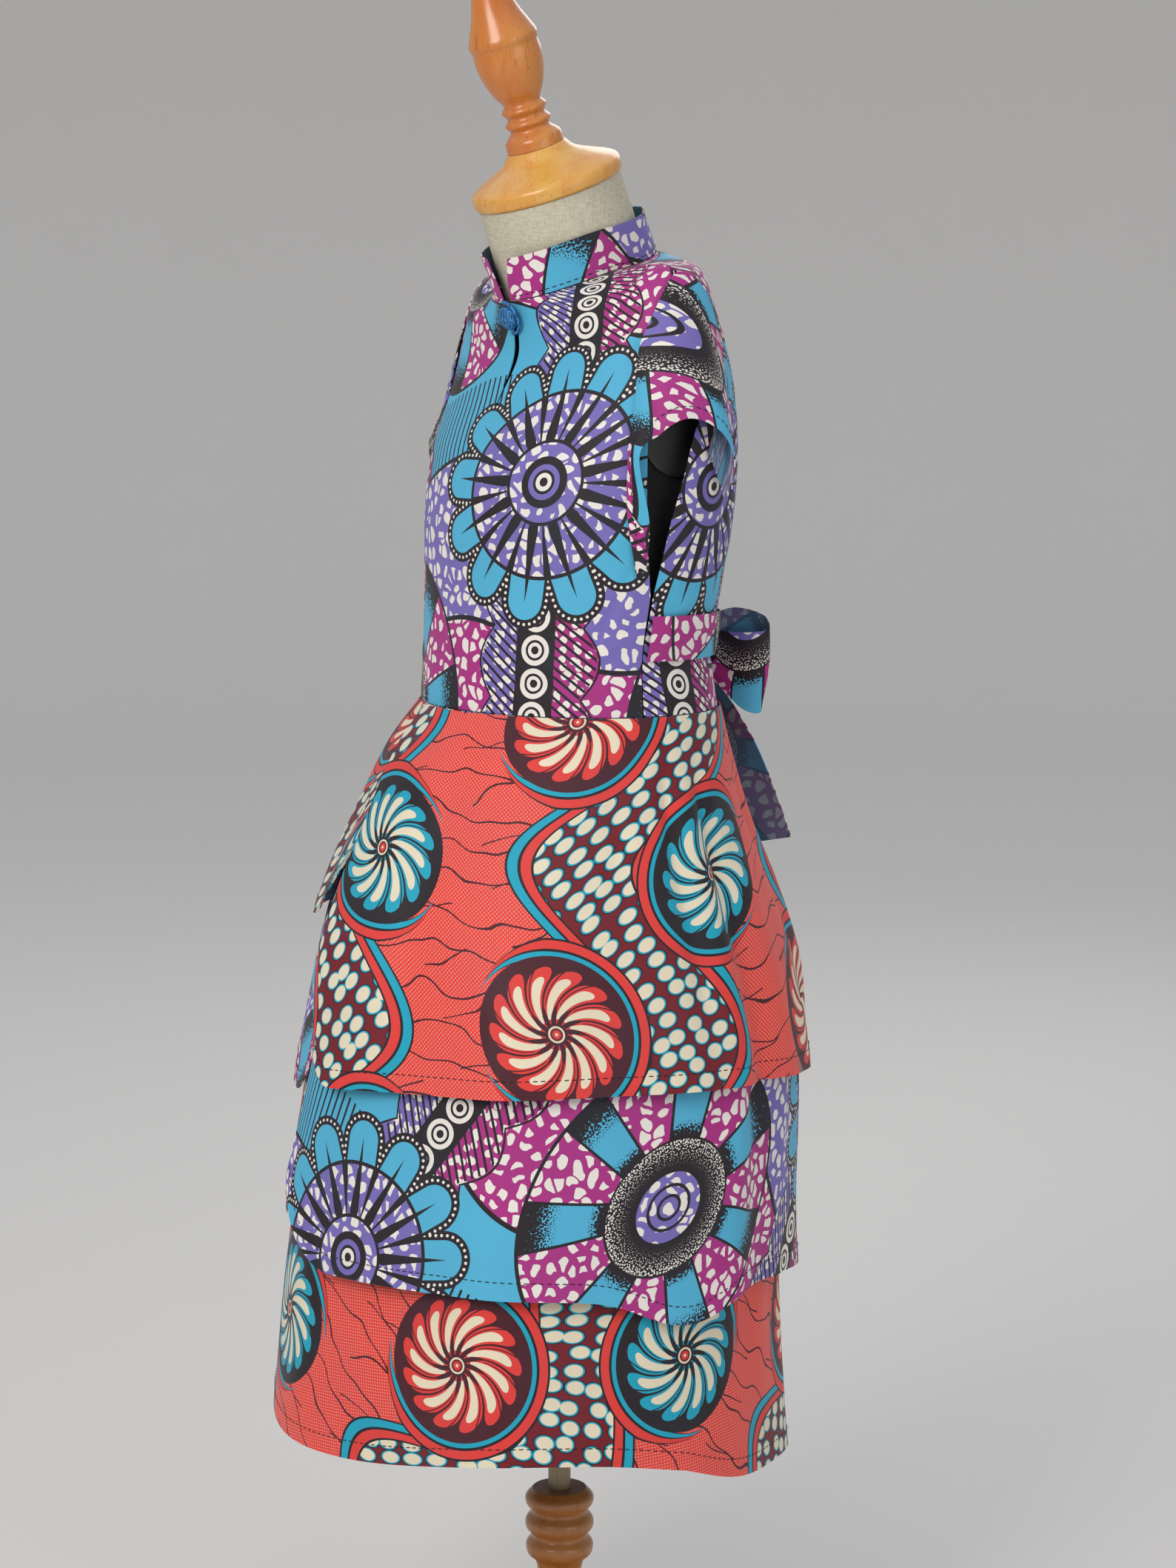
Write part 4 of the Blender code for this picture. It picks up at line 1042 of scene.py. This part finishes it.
def mirrored(grid, side):
    """The grid as it is for the left side, or mirrored and turned round for the right side."""
    return grid[::side] * np.array([side, 1.0, 1.0])


def bodice_grid(angles, rows, near_edge):
    """Fine bodice points with their creases, which fade out at the seams."""
    relief = bodice_relief(angles, rows) * eased(0.0, 0.35, rows) * eased(NECK_ROW, NECK_ROW - 0.7, rows)
    return bodice_point(angles, rows, relief * near_edge)


class DRESS_OT_bodice(bpy.types.Operator):
    """Sew the front and the back bodice"""

    bl_idname = "dress.bodice"
    bl_label = "Bodice"

    def execute(self, context):
        slit_end, collar_foot, half = FRONT_SLIT_ROW, 6.3, 70
        rows = np.concatenate([np.linspace(0.0, slit_end, 50), np.linspace(slit_end, NECK_ROW, 45)[1:]])
        shares = np.concatenate([spread(-1.0, 0.0, half, 0.15), spread(0.0, 1.0, half, 0.15)])
        edge = panel_edge(rows, FRONT_EDGE) - PANEL_GAP
        narrowing = 1.0 - 0.4 * eased(collar_foot, 9.0, rows)
        opening = SLIT_HALF * (0.45 + eased(slit_end, collar_foot, rows) * narrowing)
        slit = np.degrees(opening / bodice_surface(90.0, rows)[..., 0])
        sign = np.where(np.arange(len(shares)) <= half, -1.0, 1.0)[:, None]
        away = np.abs(shares)[:, None]
        fade = eased(0.0, 0.12, 1.0 - away) * eased(0.0, 0.08, away)
        grid = bodice_grid(sign * (slit + (edge - slit) * away), rows, fade)
        removed = np.zeros((len(shares) - 1, len(rows) - 1), bool)
        removed[half, rows[:-1] >= slit_end - 1e-6] = True
        sew("bodice_front", "blue", grid, (half, 0), removed=removed)
        shares = spread(-1.0, 1.0, 2 * half, 0.1)[:, None]
        reach = 180.0 - panel_edge(rows, BACK_EDGE) - PANEL_GAP
        grid = bodice_grid(180.0 + shares * reach, rows, eased(0.0, 0.12, 1.0 - np.abs(shares)))
        sew("bodice_back", "blue", grid, (half, 0))
        return {"FINISHED"}


class DRESS_OT_collar(bpy.types.Operator):
    """Sew the stand collar, which leans forward with the neck and is open in a notch at centre front"""

    bl_idname = "dress.collar"
    bl_label = "Collar"

    def execute(self, context):
        levels = np.linspace(0.0, 1.0, 13)
        ends = 5.0 + 9.0 * levels ** 1.5
        angles = ends + (360.0 - 2 * ends) * spread(0.0, 1.0, 200, 0.2)[:, None]
        foot = bodice_surface(angles, float(NECK_ROW))
        away = foot - NECK_ORIGIN
        away = unit(away - (away @ NECK_AXIS)[..., None] * NECK_AXIS)
        ripple = 0.0004 * np.sin(np.radians(angles) * 9 + 1.0) * levels
        up = CLOTH_GAP + 0.0002 + COLLAR_HEIGHT * levels
        grid = foot + NECK_AXIS * up[None, :, None] + away * ripple[..., None]
        sew("collar", "blue", grid, (50, 0), COLLAR_STITCH)
        return {"FINISHED"}


class DRESS_OT_sleeves(bpy.types.Operator):
    """Sew the two cap sleeves, with a light flutter at the hem"""

    bl_idname = "dress.sleeves"
    bl_label = "Sleeves"

    def execute(self, context):
        last = len(SLEEVE_STATIONS) - 1
        places = spread(0.0, last, 110)
        value = smooth_rows(range(last + 1), SLEEVE_STATIONS, places)
        row, angle, hem, lift = value[:, 0], value[:, 1], value[:, 2:5], value[:, 5]
        seam = bodice_point(angle, row, LAYER + 0.0003)
        out = bodice_normal(angle, row)
        push = np.stack([out[:, 0], out[:, 1], np.abs(out[:, 2]) * 0.6 + 0.35], -1)
        bulge = (seam + hem) / 2 + push * lift[:, None]
        shares = np.linspace(1.0, 0.0, 37)
        near, middle, far = (1 - shares) ** 2, 2 * shares * (1 - shares), shares ** 2
        parts = ((seam, near), (bulge, middle), (hem, far))
        grid = sum(line[:, None] * share[:, None] for line, share in parts)
        places = places[:, None]
        flutter = 0.0011 * np.sin(places * 2.3 + 0.5) * far
        crease = -0.0012 * np.exp(-((places - 4.2 + shares * 1.2) / 0.22) ** 2) * shares
        window = eased(0.0, 0.8, places) * eased(last, last - 0.8, places)
        grid = grid + unit(push)[:, None, :] * ((flutter + crease) * window)[..., None]
        for label, side in SIDES:
            sew("sleeve_" + label, "blue", mirrored(grid, side), (40, 0), SLEEVE_STITCH)
        return {"FINISHED"}


class DRESS_OT_ties_and_bow(bpy.types.Operator):
    """Tie the waist ties in a bow at centre back"""

    bl_idname = "dress.ties_and_bow"
    bl_label = "Ties and bow"

    def ties(self):
        """Two ties from the side seams to the knot, with a fold that deepens towards it."""
        start = SIDE_SEAM + 1.5
        shares = np.linspace(0.0, 1.0, 90)[:, None]
        level = np.linspace(0.0, 1.0, 15)[None, :]
        row = 1.35 - 0.05 * shares + (level - 0.5) * (0.74 - 0.3 * eased(0.6, 1.0, shares))
        fold = 0.0012 * np.sin(np.pi * level)
        pleat = 0.0005 * np.sin(level * 3 * np.pi + shares * 2.0) * eased(0.3, 1.0, shares)
        grid = bodice_point(start + (TIE_END - start) * shares, row, LAYER + TIE_LIFT + fold + pleat)
        for label, side in SIDES:
            sew("tie_" + label, "blue", mirrored(grid, side))

    def knot(self):
        """Cloth wrapped round the middle of the bow."""
        turns = np.radians(np.arange(0, 361, 7.5))[:, None]
        levels = np.linspace(0.05, np.pi - 0.05, 26)
        ring = np.sin(levels) * (1.0 + 0.05 * np.cos(turns * 5 + levels * 1.5))
        shape = np.stack([ring * np.cos(turns), ring * np.sin(turns), -np.cos(levels) + 0.0 * turns], -1)
        grid = KNOT_CENTRE + shape * KNOT_HALF * 0.98
        sew("bow_knot", "blue", grid, closed=True)

    def ribbon(self, name, table, side, across, gather):
        """One loop or tail of the bow, gathered into pleats at the knot."""
        steps, wide = 14, 24
        table = table * np.array([side, 1.0, 1.0, 1.0])
        last = len(table) - 1
        line = smooth_rows(range(last + 1), table, np.linspace(0, last, last * steps + 1))[:, None]
        grid = line[..., :3] + unit(across) * line[..., 3:] / 2 * np.linspace(1.0, -1.0, wide + 1)[:, None]
        run = np.linspace(0.0, 1.0, grid.shape[0])[:, None]
        level = np.linspace(-1.0, 1.0, wide + 1)[None, :]
        pleats = 0.0009 * gather(run) * np.cos(level * 8.2 + run * 1.5)
        roll = 0.0012 * (1.0 - gather(run)) * np.sin(level * 2.2 + run * 4.0)
        grid = grid + grid_normals(grid) * (pleats + roll)[..., None]
        sew(name, "blue", grid)

    def execute(self, context):
        self.ties()
        self.knot()
        for label, side in SIDES:
            upright, slanted = np.array([0.0, 0.10, 1.0]) * side, np.array([0.86, 0.30, 0.16 * side])
            self.ribbon("bow_loop_" + label, BOW_LOOP, side, upright,
                        lambda run: eased(0.35, 0.0, run) + eased(0.65, 1.0, run))
            self.ribbon("bow_tail_" + label, BOW_TAIL, side, slanted, lambda run: eased(0.55, 0.0, run))
        return {"FINISHED"}


class DRESS_OT_button(bpy.types.Operator):
    """Cover the button and bend its loop"""

    bl_idname = "dress.button"
    bl_label = "Button and loop"

    def execute(self, context):
        count, ring_points = 60, 13
        out = bodice_normal(0.0, BUTTON_ROW)
        centre = bodice_surface(0.0, BUTTON_ROW) + out * 0.0009
        covered = plain_material("button_cloth", context.scene.print_colours.button, 0.55, button_detail)
        tilt = math.pi / 2 - math.atan2(out[2], -out[1])
        button = turned_piece("button_covered", BUTTON_PROFILE, covered, centre, tilt)
        settle(button, "button_blue", "button")
        angles = np.radians(np.linspace(-100.0, 100.0, count))[:, None]
        bow = SIDEWAYS * np.cos(angles) + np.cross(out, SIDEWAYS) * (1.1 * np.sin(angles))
        path = centre + out * 0.0022 + BUTTON_LOOP * bow
        spins = np.linspace(0.0, 2 * np.pi, ring_points)
        beside = unit(np.cross(unit(np.gradient(path, axis=0)), out))
        ring = beside[:, None] * np.cos(spins)[:, None] + out * np.sin(spins)[:, None]
        twist = 1.0 + 0.10 * np.sin(spins * 2 + np.linspace(0, 60, count)[:, None])
        tube = path[:, None] + ring * (BUTTON_CORD * twist)[..., None]
        last = count * ring_points
        faces = [*quads(count, ring_points), range(ring_points), range(last - 1, last - ring_points - 1, -1)]
        loop = mesh_object("button_loop_cord", tube.reshape(-1, 3), faces, [covered])
        settle(loop, "button_blue", "button_loop")
        return {"FINISHED"}


def base_hem(angle):
    """Height of the under skirt's hem round the body."""
    front, sides, back = BASE_HEM
    forward = np.cos(np.radians(angle))
    ahead = sides + (front - sides) * forward ** 2
    behind = sides + (back - sides) * np.abs(forward) ** 1.3
    return np.where(forward > 0, ahead, behind)


def hem_sag(name, angle):
    """How far a piece's hem hangs below its plain line."""
    total = 0.0
    for piece, place, half_width, depth in HEM_SAGS:
        if piece == name:
            total = total + depth * np.exp(-(away_from(place, angle) / half_width) ** 2)
    return total


def drop_shares(count):
    """Row shares from the hem, 1, up to the waist, 0, closer together near the hem."""
    steps = np.linspace(0.0, 1.0, count + 1)
    return 1.0 - (0.72 * steps + 0.28 * steps ** 2)


def with_hem_fold(grid):
    """The turned-up hem stands a little proud of the single cloth above it."""
    fold = 0.00035 * (1.0 - eased(HEM_FOLD - 0.0010, HEM_FOLD + 0.0006, run_of(grid, 1)))
    return grid + grid_normals(grid) * fold[..., None]


def flap_grid(name, layer, overlap, start_top, start_hem, end_top, end_hem,
              hem_start, hem_rise, hem_end, corner_start, corner_end, covered_to):
    """Fine points of one flap, by share of its width and of its length."""
    across = spread(0.0, 1.0, FLAP_COLUMNS, 0.30)[:, None]
    down = drop_shares(FLAP_ROWS)
    start = start_top + (start_hem - start_top) * down
    end = end_top + (end_hem - end_top) * down
    angle = start + (end - start) * across
    width = np.radians(np.abs(end - start)) * HEM_RADIUS
    hem = hem_start + (hem_end - hem_start) * across + hem_rise * 4.0 * across * (1.0 - across)
    for share, radius in ((across, corner_start), (1.0 - across, corner_end)):
        hem = hem + radius * np.maximum(0.0, 1.0 - share * width / radius) ** 2
    hem = hem - hem_sag(name, start_hem + (end_hem - start_hem) * across)
    height = row_height(hem, down)
    flare = eased(0.0, 1.0, (covered_to - height) / np.maximum(covered_to - hem, 1e-6)) * (covered_to > hem)
    own = 0.0014 * flare * (1.0 + np.cos(9 * np.radians(angle) + layer * 1.7))
    lift = 0.002 * flare * eased(0.85, 1.0, np.maximum(across, 1.0 - across))
    free = own + lift
    if not name.endswith("left"):
        free = free * eased(-190.0, -172.0, angle) * (1.0 - eased(-42.0, -22.0, angle))
    over = np.maximum(1.0 - eased(4.0, 24.0, angle), eased(128.0, 148.0, angle))
    layers = layer + overlap * over * eased(0.395, 0.450, height)
    return skirt_point(angle, height, layer_out(layers, height) + free)


class DRESS_OT_skirt(bpy.types.Operator):
    """Sew the under skirt and the staggered flaps over it"""

    bl_idname = "dress.skirt"
    bl_label = "Skirt and flaps"

    def execute(self, context):
        angle = np.linspace(-180.0, 180.0, 261)[:, None]
        hem = base_hem(angle) - hem_sag("skirt_base", angle)
        grid = with_hem_fold(skirt_point(angle, row_height(hem, drop_shares(100))))
        grid[-1] = grid[0]
        sew("skirt_base", "coral", grid, (170, 100), HEM_FOLD, closed=True)
        for *flap, kind in FLAPS:
            grid = with_hem_fold(flap_grid(*flap))
            sew(flap[0], kind, grid, (60, FLAP_ROWS), HEM_FOLD)
        return {"FINISHED"}


class DRESS_OT_form(bpy.types.Operator):
    """Turn and cover the dress form"""

    bl_idname = "dress.form"
    bl_label = "Dress form"

    def execute(self, context):
        finish = context.scene.form_finish
        linen = plain_material("neck_linen", finish.linen, 0.78, linen_detail)
        jersey = plain_material("torso_jersey", finish.jersey, 0.80, jersey_detail)
        plate = plain_material("plate_plastic", finish.plate, 0.42, paint_detail)
        pole = plain_material("pole_paint", finish.pole, 0.34, paint_detail)
        amber, honey, brown = (
            plain_material(name, colour, roughness, wood_detail, VARNISH) for name, colour, roughness in (
                ("finial_wood", finish.amber, 0.26), ("cap_wood", finish.honey, 0.30),
                ("post_wood", finish.brown, 0.32)))
        cap_origin = NECK_ORIGIN + NECK_AXIS * (NECK_LENGTH - 0.0002)
        for name, profile, material, slot, replaced, shape in (
                ("neck_covered", NECK_PROFILE, linen, "linen", "form_neck", (NECK_ORIGIN, NECK_TILT, 0.0, 1)),
                ("cap_turned", CAP_PROFILE, honey, "wood_honey", "form_cap", (cap_origin, NECK_TILT, 0.0, 6)),
                ("finial_turned", FINIAL_PROFILE, amber, "wood_amber", "form_finial",
                 (cap_origin, NECK_TILT, 0.0, 6)),
                ("post_turned", POST_PROFILE, brown, "wood_brown", "form_collar", (FLOOR, 0.0, POST_BORE, 5)),
                ("foot_turned", FOOT_PROFILE, brown, "wood_brown", "form_base", (FLOOR, 0.0, 0.0, 1)),
                ("pole_rod", POLE_PROFILE, pole, "pole_tan", "form_pole", (FLOOR, 0.0, 0.0, 1))):
            settle(turned_piece(name, profile, material, *shape), slot, replaced)
        for name, material, slot in (
                ("form_torso", jersey, "form_cloth"), ("form_armplate_left", plate, "plate_grey"),
                ("form_armplate_right", plate, "plate_grey")):
            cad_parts[name].data.materials.clear()
            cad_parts[name].data.materials.append(material)
        return {"FINISHED"}


class DRESS_OT_stage(bpy.types.Operator):
    """Set the floor, the studio light and the camera"""

    bl_idname = "dress.stage"
    bl_label = "Stage"

    def place(self, name, data, where, look):
        """A light or the camera at a place, looking along a direction."""
        made = bpy.data.objects.new(name, data)
        made.location = where
        made.rotation_mode = "QUATERNION"
        made.rotation_quaternion = look.to_track_quat("-Z", "Y")
        bpy.context.scene.collection.objects.link(made)
        return made

    def softbox(self, name, where, size, watts, colour):
        """One soft area light that looks at the dress."""
        data = bpy.data.lights.new(name, "AREA")
        data.shape = "RECTANGLE"
        data.size, data.size_y = size
        data.energy = watts
        data.color = colour
        self.place(name, data, where, Vector((0.0, 0.0, 0.52)) - Vector(where))

    def floor(self, colour):
        """Pale round floor that curves up into a wall far from the dress."""
        flat, bend, top, segments = 4.5, 1.5, 4.0, 64
        bends = np.linspace(0.0, math.pi / 2, 12)
        profile = [(flat + math.sin(t) * bend, bend - math.cos(t) * bend) for t in bends]
        profile.append((flat + bend, top))
        turns = np.arange(segments) * 2 * np.pi / segments
        vertices = [(run * math.cos(t), run * math.sin(t), height) for run, height in profile for t in turns]
        faces = [range(segments)]
        for low in range(0, (len(profile) - 1) * segments, segments):
            high = low + segments
            for k in range(segments):
                after = (k + 1) % segments
                faces.append((low + after, low + k, high + k, high + after))
        material = plain_material("studio_floor", colour, 0.55, floor_detail)
        mesh_object("studio_floor", vertices, faces, [material], sharp=60.0)

    def camera(self, stage):
        """Camera at the height and angle from which the dress is seen."""
        view = Vector((-math.sin(stage.azimuth), math.cos(stage.azimuth), 0.0))
        right = Vector((math.cos(stage.azimuth), math.sin(stage.azimuth), 0.0))
        level = view * math.cos(stage.yaw) + right * math.sin(stage.yaw)
        look = level * math.cos(stage.pitch) - Vector((0.0, 0.0, math.sin(stage.pitch)))
        data = bpy.data.cameras.new("dress_camera")
        data.lens = stage.lens
        data.sensor_width = SENSOR
        where = Vector((-view.x * stage.distance, -view.y * stage.distance, stage.height))
        bpy.context.scene.camera = self.place("dress_camera", data, where, look)

    def execute(self, context):
        scene = context.scene
        stage = scene.stage_settings
        scene.view_settings.view_transform = "Standard"
        world = bpy.data.worlds.new("studio")
        world.use_nodes = True
        world.node_tree.nodes["Background"].inputs[0].default_value = (0.92, 0.94, 1.0, 1.0)
        world.node_tree.nodes["Background"].inputs[1].default_value = 0.72
        scene.world = world
        self.floor(stage.floor)
        self.softbox("key_softbox", (0.75, -1.75, 1.55), (0.9, 0.9), stage.key, (1.0, 0.97, 0.93))
        self.softbox("fill_softbox", (2.1, 0.15, 0.95), (1.2, 1.4), stage.fill, (0.95, 0.97, 1.0))
        self.softbox("back_softbox", (-1.2, 1.5, 1.7), (1.0, 1.0), stage.fill, (1.0, 1.0, 1.0))
        self.camera(stage)
        return {"FINISHED"}


class DRESS_PT_sidebar(bpy.types.Panel):
    """Lists the steps and settings of the dress."""

    bl_idname = "DRESS_PT_sidebar"
    bl_label = "Wax print dress"
    bl_space_type = "VIEW_3D"
    bl_region_type = "UI"
    bl_category = "Dress"

    def draw(self, context):
        for group in ("dress_sizes", "print_colours", "form_finish", "stage_settings"):
            box = self.layout.box()
            settings = getattr(context.scene, group)
            for key in settings.__annotations__:
                box.prop(settings, key)
        for step in STEPS:
            self.layout.operator(step.bl_idname)


GROUPS = {
    "dress_sizes": DressSizes, "print_colours": PrintColours,
    "form_finish": FormFinish, "stage_settings": StageSettings,
}
STEPS = (
    DRESS_OT_stage, DRESS_OT_form, DRESS_OT_bodice, DRESS_OT_collar, DRESS_OT_sleeves, DRESS_OT_skirt,
    DRESS_OT_ties_and_bow, DRESS_OT_button,
)


def register():
    """Add the settings, the operators and the panel."""
    for name, group in GROUPS.items():
        bpy.utils.register_class(group)
        setattr(bpy.types.Scene, name, PointerProperty(type=group))
    for item in (*STEPS, DRESS_PT_sidebar):
        bpy.utils.register_class(item)


def unregister():
    """Remove what register added."""
    for item in (DRESS_PT_sidebar, *reversed(STEPS)):
        bpy.utils.unregister_class(item)
    for name, group in reversed(GROUPS.items()):
        delattr(bpy.types.Scene, name)
        bpy.utils.unregister_class(group)


def main():
    """Run every step in order."""
    register()
    bpy.ops.dress.stage()
    bpy.ops.dress.form()
    bpy.ops.dress.bodice()
    bpy.ops.dress.collar()
    bpy.ops.dress.sleeves()
    bpy.ops.dress.skirt()
    bpy.ops.dress.ties_and_bow()
    bpy.ops.dress.button()


if __name__ == "__main__":
    main()
